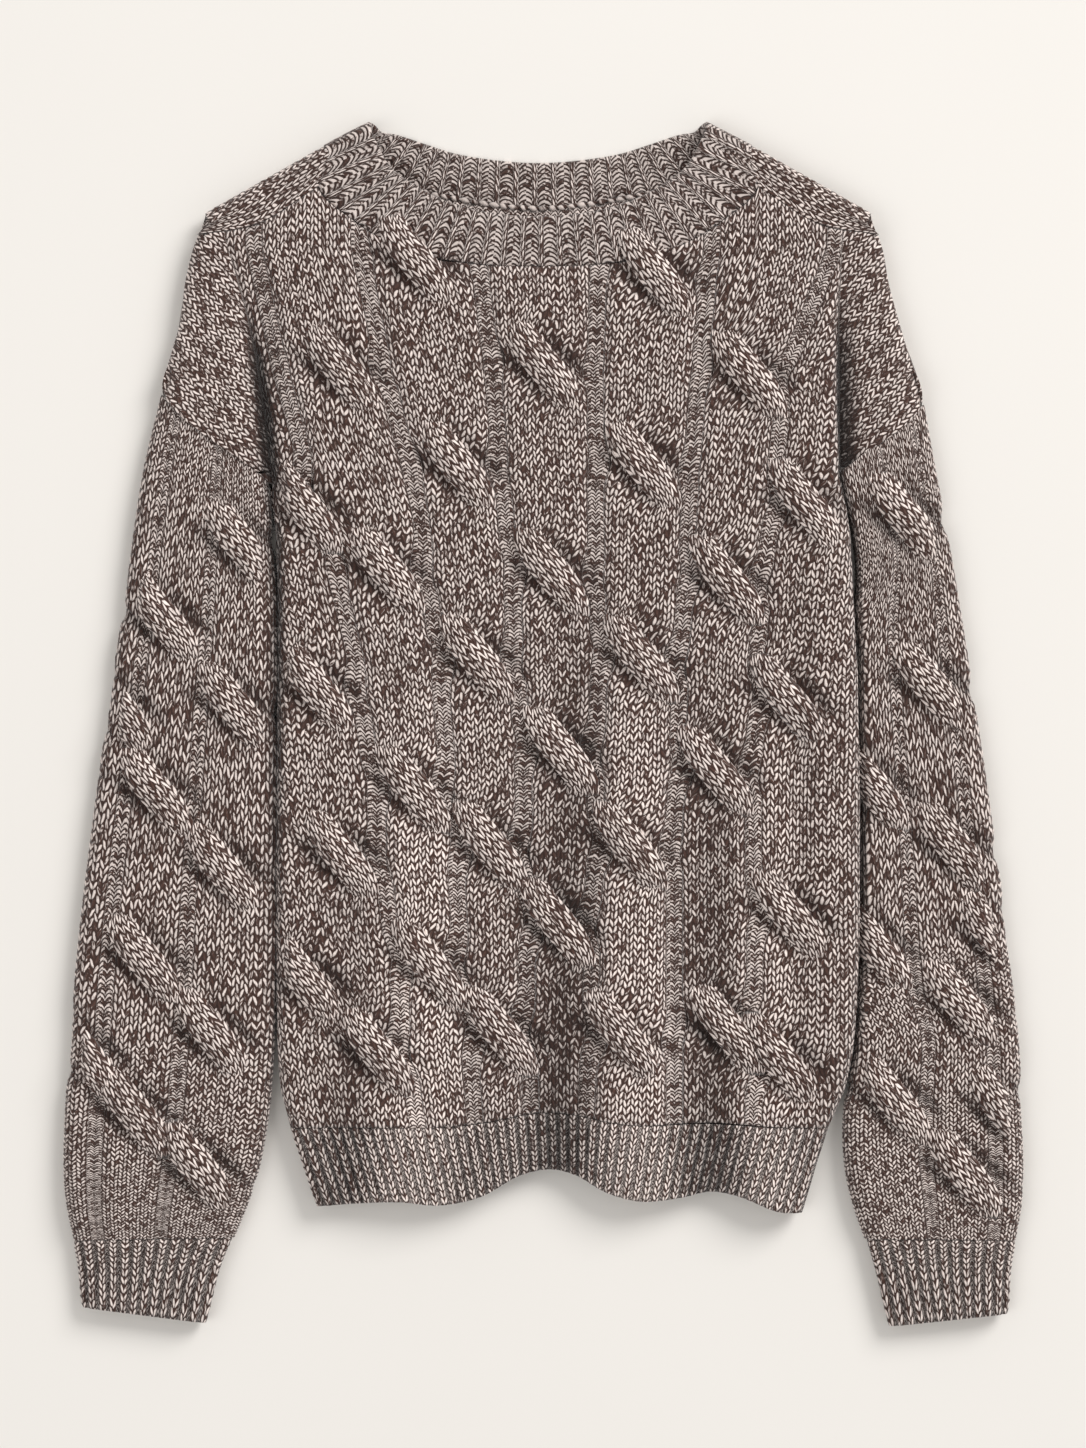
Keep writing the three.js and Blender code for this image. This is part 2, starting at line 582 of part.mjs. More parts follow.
function tubePoint(outerEdge, innerEdge, share, layer, top, relief, inset) {
  const width = outerEdge.distanceTo(innerEdge);
  const full = rise(Math.min(share, 1 - share) * width);
  const squeeze = lerp(inset / width, 1 - inset / width, share);
  const point = new THREE.Vector3().lerpVectors(outerEdge, innerEdge, squeeze);
  const height = Math.min(top, pressedTop(point.x, point.y));
  const free = clamp((height - PRESSED_TOP) / (top - PRESSED_TOP), 0, 1);
  return point.setZ(height / 2 + layer * full * (height / 2 - inset + relief * free));
}

function tube(name, colour, rows, { ribs = 0, along: steps, top, cables = [], gapAt }) {
  const outerCurve = curveThrough(rows, 0);
  const innerCurve = curveThrough(rows, 2);
  const topCount = ribs ? 2 * ribs + 2 : TOP_POINTS;
  const across = topCount + UNDER_SHARES.length;
  const section = (j) => {
    const shift = gapAt * (1 - j / steps);
    const way = outerCurve.getTangent(START).add(innerCurve.getTangent(START)).normalize();
    return [outerCurve, innerCurve].map((curve) => curve.getPoint(j / steps).addScaledVector(way, shift));
  };
  const place = (i, j, inset) => {
    const [outerEdge, innerEdge] = section(j);
    if (i >= topCount) {
      return tubePoint(outerEdge, innerEdge, UNDER_SHARES[i - topCount], -1, top, 0, inset);
    }
    const even = i / topCount;
    const share = even - CROWD * Math.sin(2 * Math.PI * even) / (2 * Math.PI);
    const flat = tubePoint(outerEdge, innerEdge, share, 1, top, 0, inset);
    if (inset) return flat;
    const rib = i % 2 ? HEM_RIB : 0;
    const relief = ribs ? rib : cableHeight(cables, flat.x, flat.y);
    return tubePoint(outerEdge, innerEdge, share, 1, top, relief, inset);
  };
  const size = { across, along: steps, plain: [2, ribs ? 1 : 2], tube: true };
  return knittedWall(name, colour, size, (i, j) => place(i, j, 0), (i, j) => place(i, j, WALL));
}

function sleeve(side) {
  const options = { along: 38, top: SLEEVE_TOP, cables: SLEEVE_CABLES[side], gapAt: ARMHOLE_GAP };
  return tube(`${side}_sleeve`, COLOURS.sleeve, SLEEVE_ROWS[side], options);
}

function cuff(side) {
  const options = { ribs: CUFF_RIBS, along: 3, top: CUFF_TOP, gapAt: SEAM_GAP };
  return tube(`${side}_cuff`, COLOURS.rib, CUFF_ROWS[side], options);
}

function neckband() {
  const columns = 2 * BAND_RIBS;
  const rows = 2;
  const at = (i, j) => {
    const t = BAND_SEAM.getUtoTmapping((i % columns) / columns);
    const point = BAND_SEAM.getPoint(t).lerp(BAND_EDGE.getPoint(t), j / rows);
    return point.setZ(clamp(point.z, MIDDLE - BEND, MIDDLE + BEND));
  };
  const normal = (i, j) => {
    const before = at((i + columns - 1) % columns, j);
    const after = at((i + 1) % columns, j);
    const acrossWay = at(i, rows).sub(at(i, 0));
    return acrossWay.cross(after.sub(before)).normalize();
  };
  const face = (i, j, side) => {
    const out = normal(i, j).multiplyScalar(side);
    const rib = i % 2 ? BAND_RIB * Math.max(0, out.z) : 0;
    return at(i, j).addScaledVector(out, WALL / 2 + rib);
  };
  return knittedWall('neckband', COLOURS.rib, { across: columns, along: rows, plain: [1, 1], tube: true },
    (i, j) => face(i, j, 1), (i, j) => face(i, j, -1));
}

const pieces = [frontPanel(), backPanel(), frontHem(), backHem(), sleeve('left'), sleeve('right'),
  cuff('left'), cuff('right'), neckband()];

const sweater = new THREE.Group();
sweater.add(...pieces);
const box = new THREE.Box3().setFromObject(sweater);
const middle = box.getCenter(new THREE.Vector3());
for (const piece of pieces) piece.geometry.translate(-middle.x, -middle.y, -box.min.z);

export default sweater;
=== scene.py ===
# %% [markdown]
# # A cable knit sweater, laid flat
# The real sweater is a front and a back, two sleeves, ribbed hems and cuffs, and a neckband that is
# linked on last. All of it is knitted from one marl yarn, a dark brown ply twisted with an off-white
# one. This lesson dresses the imported solids of those pieces: each one is replaced by a shell of the
# same form whose outer face is laid out stitch by stitch.
#
# The imported model is loaded first and never moved.

# %% Load the imported frame
import math

import bmesh
import bpy
import numpy as np
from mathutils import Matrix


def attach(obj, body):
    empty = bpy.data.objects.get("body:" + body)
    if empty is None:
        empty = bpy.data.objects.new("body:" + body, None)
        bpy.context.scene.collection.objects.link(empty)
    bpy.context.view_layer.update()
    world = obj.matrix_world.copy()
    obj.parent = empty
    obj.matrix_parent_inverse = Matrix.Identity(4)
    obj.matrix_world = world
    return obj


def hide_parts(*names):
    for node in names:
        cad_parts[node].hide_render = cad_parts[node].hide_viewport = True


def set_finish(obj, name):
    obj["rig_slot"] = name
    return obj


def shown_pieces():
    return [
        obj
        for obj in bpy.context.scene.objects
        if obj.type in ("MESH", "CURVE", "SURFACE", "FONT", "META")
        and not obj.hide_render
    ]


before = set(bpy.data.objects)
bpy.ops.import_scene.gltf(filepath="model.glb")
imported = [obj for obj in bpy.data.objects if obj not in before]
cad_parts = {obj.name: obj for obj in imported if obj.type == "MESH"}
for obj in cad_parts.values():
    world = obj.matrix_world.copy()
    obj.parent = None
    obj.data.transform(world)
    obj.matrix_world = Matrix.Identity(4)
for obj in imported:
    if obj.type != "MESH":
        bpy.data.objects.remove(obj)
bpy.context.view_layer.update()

# %% [markdown]
# ## Sizes
# The layout is worked out in millimetres, as a knitter's chart would be, and each mesh is brought to
# metres when it is made. X runs to the right of the front, Y to the neck and Z up off the table.
# The tables repeat the garment's own lines: the sides, the drop shoulders, the seams and the hem.

# %% Sizes of the garment
MM = 0.001
WALL = 3.0
SEAM_GAP = 0.3             # between linked pieces
ROW_GAP = 0.3              # between a panel and the ribs that it is knitted on
NECK_GAP = 0.5
BEND = 7.0                 # from the middle of a wall to the middle of the garment
MIDDLE = BEND + WALL / 2   # height of the middle of the garment
EDGE_ROUND = 12.0          # from a folded edge to where the cloth has its full height
SLEEVE_TOP = 15.0          # height of a sleeve without its cables
CUFF_TOP = 13.0
HEM_TOP = -246.0           # y of the row where the ribs end
NECK_CENTRE = -3.0         # x
CABLE_SWELL = 2.2          # height of a cable above the gutter beside it

SIDE = {
    "left": [(-154, -246), (-160, -223), (-162, -199), (-163, -140), (-163, -46), (-162, 30),
             (-162, 76), (-163, 118), (-169, 149)],
    "right": [(174, -246), (184, -223), (189, -199), (192.5, -140), (193, -46), (191.5, 30),
              (189, 76), (187, 118), (182, 154)],
}
HEM_SIDE = {
    "left": [(-154, -246), (-146, -270), (-138, -294)],
    "right": [(174, -246), (166, -270), (158, -298)],
}
DROP = {
    "left": [(-231.5, 201), (-227, 225), (-221, 246), (-218.5, 268), (-214, 288), (-210.5, 298)],
    "right": [(231, 195), (223, 225), (217, 246), (211, 268), (207.5, 288), (204.5, 298)],
}
FOLD_TIP = (-206, 311)
SHOULDER_SEAM = [(-210.5, 298), (-174.5, 304), (-137, 327)]
HEM_EDGE = [(-138, -294), (-112, -292), (-87, -291), (-63, -293), (-38, -288), (-14, -275),
            (4, -271.5), (20, -275), (38, -285), (59, -290.5), (84, -288.5), (102, -285),
            (120, -288), (143, -297), (158, -298)]
# Columns: x, width, rise
HEM_TOP_WAVES = [(3, 38, 9), (100, 32, 3)]
# Columns: x and y on the seam, x and y on the free edge
BAND_FRONT = [(-3, 279, -3, 308.5), (-35, 280, -31, 310.5), (-69, 285, -57, 317),
              (-96, 294.5, -75, 325.5), (-118, 309, -88, 334), (-130.5, 318.5, -93, 338.5),
              (-136.5, 327, -97.5, 344.5), (-135.3, 337.5, -101.5, 353)]
BAND_BACK = [(-111.5, 338, -90, 360), (-87, 329.5, -72, 354), (-53.5, 322, -50.5, 347.5),
             (-3, 316, -3, 342.5)]
NECK_FOLD = {"seam": (-132.5, 352.5), "edge": (-105.5, 366.5)}

print("chest", SIDE["right"][4][0] - SIDE["left"][4][0], "mm wide, laid flat")

# %% [markdown]
# ## Lines and distances
# A garment's edge is a smooth curve through a few measured points. A Catmull-Rom curve passes through
# every one of them, so its table stays short and readable. Everything works on whole arrays of points
# at once, because a panel has over a hundred thousand of them.

# %% Curves and heights
def mix(a, b, share):
    return a + (b - a) * share


def smooth(x, low=0.0, high=1.0):
    share = np.clip((x - low) / (high - low), 0, 1)
    return share * share * (3 - 2 * share)


def curve(rows, at, closed=False):
    """Points of the centripetal curve through the rows, by row number, which may lie between two."""
    rows = np.asarray(rows, float)
    count = len(rows) if closed else len(rows) - 1
    if closed:
        rows = np.concatenate([rows[-1:], rows, rows[:2]])
    else:
        rows = np.concatenate([2 * rows[:1] - rows[1:2], rows, 2 * rows[-1:] - rows[-2:-1]])
    at = np.asarray(at, float)
    first = np.clip(np.floor(at).astype(int), 0, count - 1)
    u = (at - first)[..., None]
    p0, p1, p2, p3 = (rows[first + k] for k in range(4))
    d0, d1, d2 = (np.linalg.norm(b - a, axis=-1, keepdims=True) ** 0.5
                  for a, b in ((p0, p1), (p1, p2), (p2, p3)))
    leave = ((p1 - p0) / d0 - (p2 - p0) / (d0 + d1) + (p2 - p1) / d1) * d1
    arrive = ((p2 - p1) / d1 - (p3 - p1) / (d1 + d2) + (p3 - p2) / d2) * d1
    return (p1 + leave * u + (3 * (p2 - p1) - 2 * leave - arrive) * u ** 2
            + (2 * (p1 - p2) + leave + arrive) * u ** 3)


def lengths(points):
    """Length of the way from the first point to each."""
    return np.concatenate([[0], np.cumsum(np.linalg.norm(np.diff(points, axis=0), axis=1))])


def evenly(rows, share):
    """Points at shares of the curve's length."""
    steps = np.linspace(0, len(rows) - 1, 60 * len(rows))
    length = lengths(curve(rows, steps))
    return curve(rows, np.interp(share, length / length[-1], steps))


def column_at(rows, y, column=0):
    """x of a line that runs down the garment, for any y."""
    rows = np.array(sorted(rows, key=lambda row: row[1]), float)
    return np.interp(y, rows[:, 1], rows[:, column])


def hem_top(x):
    return HEM_TOP + sum(rise * np.exp(-((x - at) / width) ** 2) for at, width, rise in HEM_TOP_WAVES)


def line_distance(x, y, rows):
    """Distance of each point from a broken line."""
    nearest = np.full(np.shape(x), np.inf)
    for (x1, y1), (x2, y2) in zip(rows, rows[1:]):
        span = (x2 - x1) ** 2 + (y2 - y1) ** 2
        share = np.clip(((x - x1) * (x2 - x1) + (y - y1) * (y2 - y1)) / span, 0, 1)
        away = np.hypot(x - mix(x1, x2, share), y - mix(y1, y2, share))
        nearest = np.minimum(nearest, away)
    return nearest


def full_height(distance):
    """0 on a folded edge, 1 where the cloth has its full height."""
    return np.sqrt(1 - (1 - np.clip(distance / EDGE_ROUND, 0, 1)) ** 2)


FOLDED_EDGES = [table[side] for table in (SIDE, HEM_SIDE, DROP) for side in ("left", "right")]


def edge_share(x, y):
    return full_height(np.min([line_distance(x, y, rows) for rows in FOLDED_EDGES], axis=0))


print("hem top at the middle", round(float(hem_top(np.array(3.0))), 1), "mm")

# %% [markdown]
# ## How the cloth lies
# Laid flat, the body still has soft flutes that run up from the wavy hem, and the drop shoulders fold
# under at a crease beside each side. On the right the body lies over a strip of that sleeve. Those are
# kept as a few named ridges and troughs, because they are uneven and no simulation would put them in
# the same places.

# %% Folds of the laid body
# Columns: from, to, width, rise
FLUTES = [((24, 90), (8, -275), 17, -4.2), ((56, 60), (58, -290), 20, 3.2),
          ((104, 40), (104, -285), 18, -3.5), ((138, 20), (134, -290), 18, 2.5),
          ((-70, 20), (-80, -290), 22, 3.2), ((-112, -60), (-122, -290), 16, -2.2)]
# Creases between the drop shoulders and the body. Columns: x, y, depth
CREASE = {
    "left": [(-163, 118, 0), (-164.5, 137, 5), (-166, 155, 7.5), (-169, 185, 8), (-174, 222, 6.5),
             (-180, 250, 4), (-187, 275, 2), (-194, 298, 0)],
    "right": [(187, 118, 0), (184, 137, 5), (182, 152, 7), (180.5, 185, 7), (180, 222, 6.5),
              (180, 250, 4.5), (181, 275, 2.5), (182, 298, 0)],
}
CREASE_BODY_WIDTH = {"left": 9.5, "right": 4.0}
CREASE_CAP_WIDTH = {"left": 9.0, "right": 16.0}
TUCK_LIFT = 7.4
TUCK_STRIP = 17.0
TUCK_SLOPE = 26.0
TUCK_SHARES = [(-246, 0), (-177, 1), (88, 1), (154, 0)]
PRESSED_TOP = 6.8
PRESSED_RISE = 1.5


def crease_x(side, y):
    return column_at(CREASE[side], y)


def flute_height(x, y):
    height = np.zeros(np.shape(x))
    for start, end, width, rise in FLUTES:
        share = np.clip((start[1] - y) / (start[1] - end[1]), 0, 1)
        away = x - mix(start[0], end[0], share)
        height += rise * np.sqrt(share) * np.exp(-(away / width) ** 2)
    return height


def crease_height(x, y, spread=0.0):
    """Depth of the creases, which may be spread wider for the plain inside."""
    height = np.zeros(np.shape(x))
    for side, out in (("left", -1), ("right", 1)):
        beyond = (x - crease_x(side, y)) * out
        depth = column_at(CREASE[side], y, 2)
        width = np.where(beyond > 0, CREASE_CAP_WIDTH[side], CREASE_BODY_WIDTH[side]) + spread
        height -= depth * np.exp(-(beyond / width) ** 2)
    return height


def tuck_share(y):
    ys, shares = np.transpose(TUCK_SHARES)
    return smooth(np.interp(y, ys, shares))


def tuck_lift(x, y):
    foot = column_at(SIDE["right"], y) - TUCK_STRIP - TUCK_SLOPE
    return TUCK_LIFT * tuck_share(y) * smooth(x, foot, foot + TUCK_SLOPE)


def front_height(x, y, spread=0.0):
    """Outer face of the front between its stitches."""
    full = edge_share(x, y)
    half = np.maximum(BEND * full, (WALL + SEAM_GAP) / 2)
    laid = flute_height(x, y) + crease_height(x, y, spread)
    return MIDDLE + tuck_lift(x, y) + half + WALL / 2 + full * laid


chest = float(front_height(np.array(-80.0), np.array(0.0)))
print("front is", round(chest, 1), "mm high at the chest")

# %% [markdown]
# ## Stitches
# A knit stitch is two legs that meet in a V, and the Vs of one wale stand in each other. Four columns
# of faces carry one wale: the groove beside it, a leg, the groove between the legs and the other leg.
# Two rows carry one course. The middle of each wale is pulled down and its sides up, which makes the
# V. A purl wale shows round bars instead and lies lower. A bump map alone would be flat at the
# edges of the garment and under a low light, so the legs are real faces.

# %% Stitch relief
WALE = 4.6
COURSE = 4.45
LEG_HEIGHT = 0.95
V_SHIFT = 0.42       # courses by which the middle of a wale hangs below its sides
RIM_RELIEF = 0.6         # share of the relief that is left at a rim
FINE_ACROSS = 4
FINE_ALONG = 2


def v_shift(wale):
    return V_SHIFT * (4 * np.abs(wale - np.floor(wale) - 0.5) - 1)


def stitch_height(wale, course, purl):
    legs = np.abs(np.sin(2 * np.pi * wale)) + 0.25 * np.sin(np.pi * wale) ** 2
    crest = 0.5 - 0.5 * np.cos(2 * np.pi * course)
    knit = LEG_HEIGHT * legs * (0.6 + 0.4 * crest)
    bars = LEG_HEIGHT * (0.3 + 0.7 * crest) * (0.5 + 0.5 * np.abs(np.sin(np.pi * wale)))
    return mix(knit, bars, purl)


def surface_normals(points, around=False):
    """Unit normals of a grid of points in rows and columns."""
    if around:
        wrapped = np.concatenate([points[:, -2:-1], points, points[:, 1:2]], axis=1)
        across = (wrapped[:, 2:] - wrapped[:, :-2]) / 2
    else:
        across = np.gradient(points, axis=1)
    along = np.gradient(points, axis=0)
    normals = np.cross(across, along)
    return normals / np.maximum(np.linalg.norm(normals, axis=-1, keepdims=True), 1e-9)


print("a stitch is", WALE, "by", COURSE, "mm")

# %% [markdown]
# ## Where the cables cross
# Every column crosses each eleven centimetres or so, half a repeat after its neighbours. The body has
# seven full columns and the edge of an eighth, a sleeve has one in the middle and parts of two more.
# A strand is measured along its own way, which runs down to the right at about fifty degrees.

# %% Crossings
BODY_CROSSINGS = [(-145, 132), (-138, 22), (-123, -79), (-101, -199),
                  (-146, -154), (-123, 217), (-95, 94), (-79, -39), (-69, -146),
                  (-77, 282), (-52, 158), (-40, 40), (-32, -74), (-26, -187),
                  (0, 219), (5, 93), (11, -16), (9, -121),
                  (69, 274), (61, 158), (60, 40), (53, -74), (48, -189),
                  (126, 213), (112, 88), (105, -28), (112, -185),
                  (160, 134), (149, 15), (150, -116), (144, -204)]
SLEEVE_CROSSINGS = {
    "left": [(-260, 11), (-281, -199), (-232, 65), (-236, -41), (-243, -143), (-249, -236),
             (-184, 110), (-188, 11), (-195, -88), (-202, -188), (-210, -270)],
    "right": [(200, -37), (202, -135), (214, -229), (221, 126), (236, 24), (250, -74), (254, -169),
              (257, -273), (276, -130), (281, -235)],
}
STRAND_SLOPE = math.radians(-46)
STRAND_ACROSS = 16.0       # half of the way that a strand moves to the right
STRAND_DOWN = 29.0         # half of the way that it moves down
STRAND_HALF = 10.5         # half of its width
STRAND_REACH = 33.0
NOTCH_AWAY = 13.5          # from a strand's middle line to the notch beside it
NOTCH_DEPTH = 4.2
NOTCH_WIDTH = 4.2
DRAW_IN = 6.0              # mm by which a crossing pulls in the wales beside it
DRAW_AWAY = 14             # from a strand's middle line to where it pulls most
DRAW_WIDTH = 8
DRAW_CLEAR = (4, 18)       # mm from a folded edge where no pull and the whole pull are reached


def strand_place(dx, dy):
    """Distance along a strand and away from its middle line, up and to the right of it."""
    along = dx * math.cos(STRAND_SLOPE) + dy * math.sin(STRAND_SLOPE)
    away = -dx * math.sin(STRAND_SLOPE) + dy * math.cos(STRAND_SLOPE)
    return along, away


def notch_share(x, y, crossings):
    """1 in the deepest part of a notch: above a strand's lower end and below its upper end."""
    share = np.zeros(np.shape(x))
    for cx, cy in crossings:
        along, away = strand_place(x - cx, y - cy)
        near = np.clip(1 - (along / STRAND_REACH) ** 2, 0, 1)
        end = np.clip(0.62 + 0.55 * np.sign(away) * along / STRAND_REACH, 0, 1)
        beside = np.exp(-((np.abs(away) - NOTCH_AWAY) / NOTCH_WIDTH) ** 2)
        share = np.maximum(share, near * end * beside)
    return share


def under_strand(x, y, crossings):
    """1 under the middle of a strand."""
    share = np.zeros(np.shape(x))
    for cx, cy in crossings:
        along, away = strand_place(x - cx, y - cy)
        near = np.clip(1 - (along / STRAND_REACH) ** 2, 0, 1)
        share = np.maximum(share, near * np.exp(-(away / 9) ** 4))
    return share


def unit(vectors):
    return vectors / np.linalg.norm(vectors, axis=-1, keepdims=True)


print(len(BODY_CROSSINGS), "crossings on the body,",
      sum(len(rows) for rows in SLEEVE_CROSSINGS.values()), "on the sleeves")

# %% [markdown]
# ## From grids to a closed shell
# Each piece is a fine grid for the outer face and a coarse one for the plain inside. Blender's own
# grid operator makes both and the stitches are placed by moving the grid's points. The fine grid has
# one more ring of points, which lie on the nearest rim points of the coarse one, so merging doubles
# closes the shell. It also merges wales that run out round an edge. A Solidify modifier would double
# every stitch on the inside too, where nobody sees it.

# %% Closed shells
def layer(points, knit, purl, painted_shade=0.0):
    """One face of a piece: points in mm, wale and course of each, 0 for knit or 1 for purl, and its
    painted shade: from 0 to 1 it darkens the yarn where shade falls, below 0 it is painted light."""
    purl, painted_shade = (np.broadcast_to(value, points.shape[:2]) for value in (purl, painted_shade))
    return {"points": points, "knit": knit, "purl": purl, "painted_shade": painted_shade}


def add_grid(bm, face, turned):
    rows, columns = face["points"].shape[:2]
    known = len(bm.faces)
    bmesh.ops.create_grid(bm, x_segments=columns - 1, y_segments=rows - 1, size=1)
    if turned:
        bm.faces.ensure_lookup_table()
        bmesh.ops.reverse_faces(bm, faces=bm.faces[known:])


def atlas(face, low, high):
    """Places for the export's bake: the grid spread over a band of the square."""
    rows, columns = face["points"].shape[:2]
    u, v = np.meshgrid(np.linspace(0.005, 0.995, columns), np.linspace(low, high, rows))
    return np.stack([u, v], axis=-1)


def with_walls(outer, inner, tube):
    """The outer face with a ring of points more, which lie on the rim of the inside.

    A tube has walls at its ends only."""
    rows, columns = outer["points"].shape[:2]
    inner_rows, inner_columns = inner["points"].shape[:2]
    near_row = np.rint(np.linspace(0, inner_rows - 1, rows)).astype(int)
    near_column = np.rint(np.linspace(0, inner_columns - 1, columns)).astype(int)
    ring = (0, 0) if tube else (1, 1)
    walled = {title: np.pad(values, [(1, 1), ring] + [(0, 0)] * (values.ndim - 2), "edge")
              for title, values in outer.items()}
    points, rim = walled["points"], inner["points"]
    if not tube:
        for side in (0, -1):
            points[1:-1, side] = rim[near_row, side]
            points[side, side] = rim[side, side]
            points[side, -1 - side] = rim[side, -1 - side]
    across = slice(None) if tube else slice(1, -1)
    for end in (0, -1):
        points[end, across] = rim[end, near_column]
    return walled


def triangle_count(mesh):
    return sum(len(polygon.vertices) - 2 for polygon in mesh.polygons)


def shell(name, outer, inner=None, tube=False):
    """A closed piece from its outer and inner faces, or from one face that closes on itself."""
    bm = bmesh.new()
    faces = [outer] if inner is None else [with_walls(outer, inner, tube), inner]
    for k, face in enumerate(faces):
        add_grid(bm, face, k == 1)
    mesh = bpy.data.meshes.new(name)
    bm.to_mesh(mesh)
    bm.free()
    points = np.concatenate([f["points"].reshape(-1, 3) for f in faces]) * MM
    mesh.vertices.foreach_set("co", points.ravel())
    corner = np.zeros(len(mesh.loops), int)
    mesh.loops.foreach_get("vertex_index", corner)
    bands = ((0.005, 0.9), (0.91, 0.995))
    maps = {
        "Knit": np.concatenate([f["knit"].reshape(-1, 2) for f in faces]),
        "OFBake": np.concatenate([atlas(f, *band).reshape(-1, 2) for f, band in zip(faces, bands)]),
    }
    for title, values in maps.items():
        mesh.uv_layers.new(name=title).data.foreach_set("uv", values[corner].ravel())
    for title in ("purl", "painted_shade"):
        values = np.concatenate([f[title].ravel() for f in faces]).astype(np.float32)
        mesh.attributes.new(title, "FLOAT", "POINT").data.foreach_set("value", values)
    bm = bmesh.new()
    bm.from_mesh(mesh)
    bmesh.ops.remove_doubles(bm, verts=bm.verts, dist=0.01 * MM)
    bmesh.ops.recalc_face_normals(bm, faces=bm.faces)
    bm.to_mesh(mesh)
    open_edges = sum(edge.is_boundary for edge in bm.edges)
    bm.free()
    mesh.shade_smooth()
    piece = bpy.data.objects.new(name, mesh)
    bpy.context.scene.collection.objects.link(piece)
    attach(piece, "root")
    print(f"{name}: {triangle_count(mesh)} triangles, {open_edges} open edges")
    return piece


# %% [markdown]
# ## The neck line
# The band is linked to the panels along one closed line. It lies on the front, turns round each
# shoulder fold and comes back along the lower layer, and the band's free edge runs beside it. Both
# lines are charted on the left half and mirrored. A share of the way round is easier to work with than
# an angle, because the neck is far from a circle.

# %% Lines of the neck
FOLD_HALF = 3.0            # half of the way along the fold that the seam takes while it turns


def fold_ways():
    way = np.subtract(FOLD_TIP, NECK_FOLD["seam"])
    way = way / np.linalg.norm(way)
    return way, np.array([way[1], -way[0]])


def around_fold(start, distance, angle):
    """A point on the shoulder fold's bend."""
    way, out = fold_ways()
    plan = np.array(start) + way * distance + out * BEND * (math.sin(angle) - 1)
    return (plan[0], plan[1], MIDDLE - BEND * math.cos(angle))


def neck_rows(column):
    """The band's seam (0) or free edge (2) all round the neck, with the height of its middle."""
    start = NECK_FOLD["seam"] if column == 0 else NECK_FOLD["edge"]
    bend = [around_fold(start, FOLD_HALF * (2 * turn - 1), math.pi * turn)
            for turn in (1, 0.75, 0.5, 0.25, 0)]
    front = [(row[column], row[column + 1], MIDDLE + BEND) for row in BAND_FRONT]
    back = [(row[column], row[column + 1], MIDDLE - BEND) for row in BAND_BACK]
    left = front + bend + back
    right = [(2 * NECK_CENTRE - x, y, z) for x, y, z in left[-2:0:-1]]
    return left + right


def neck_lines(share):
    """Seam and edge of the band at shares of the way round."""
    seam_rows, edge_rows = neck_rows(0), neck_rows(2)
    steps = np.linspace(0, len(seam_rows), 2000)
    length = lengths(curve(seam_rows, steps, True))
    at = np.interp(np.mod(share, 1), length / length[-1], steps)
    lines = [curve(rows, at, True) for rows in (seam_rows, edge_rows)]
    for points in lines:
        points[..., 2] = np.clip(points[..., 2], MIDDLE - BEND, MIDDLE + BEND)
    return lines


def front_top_line():
    """x and y of the front's top edge: shoulder seam, neck, shoulder seam."""
    seam = evenly(SHOULDER_SEAM, np.linspace(0, 1, 20))
    neck, edge = (curve(neck_rows(column), np.linspace(0, 6, 60), True)[:, :2] for column in (0, 2))
    outward = neck - edge
    neck = neck + NECK_GAP * outward / np.linalg.norm(outward, axis=1, keepdims=True)
    half = np.concatenate([seam[:-1], neck[::-1]])
    mirror = half[::-1] * (-1, 1) + (2 * NECK_CENTRE, 0)
    line = np.concatenate([half, mirror[1:]])
    return line[np.argsort(line[:, 0])]


TOP_LINE = front_top_line()


def front_top(x):
    return np.interp(x, TOP_LINE[:, 0], TOP_LINE[:, 1])


print("the front's neck is lowest at y =", round(float(front_top(NECK_CENTRE)), 1), "mm")

# %% [markdown]
# ## The wales of the front
# The front is knitted with seven cables side by side, each parted from the next by a narrow gutter of
# purl. The gutters drift over the laid garment, so they are charted as lines, and the wales are spaced
# evenly between them. At the sides the wales simply run out round the fold: points past the edge
# are brought back to it and merged. The drop shoulders have wales of their own, which fan out
# from the underarm along the armhole.

# %% Wales of the front
# Columns: y, then x of each gutter from left to right
GUTTERS = [(-246, -76, -41, -7, 26, 80, 128), (-150, -90, -49, -10, 29.5, 80, 129),
           (-60, -101, -55, -11, 32, 80, 128), (40, -114, -64, -16, 34, 84, 130),
           (130, -136, -75, -23, 32, 89, 139), (215, -160, -96, -31, 32, 95, 148),
           (290, -176, -112, -40, 34, 103, 178)]
CAP_WALES = 11
CAP_RELIEF = 0.4
CAP_START = 4.0          # from the underarm to where the drop shoulder opens out
CAP_LEAN = math.radians(48)    # slant of the wales there, down and inwards
SIDE_WALES = {"left": 19, "right": 14}
CABLE_WALES = 14         # the widest that a cable column gets, at the neck
GUTTER_WALES = 2
GUTTER_WIDTH = 11.0
FRONT_COURSES = 116
FIRST_GUESS = 300.0      # y of the top line, before it is worked out
FIRST_GUTTER = CAP_WALES + SIDE_WALES["left"]
GUTTER_STARTS = [FIRST_GUTTER + k * (CABLE_WALES + GUTTER_WALES) for k in range(6)]
LAST_GUTTER_END = GUTTER_STARTS[-1] + GUTTER_WALES
FRONT_WALES = LAST_GUTTER_END + SIDE_WALES["right"] + CAP_WALES


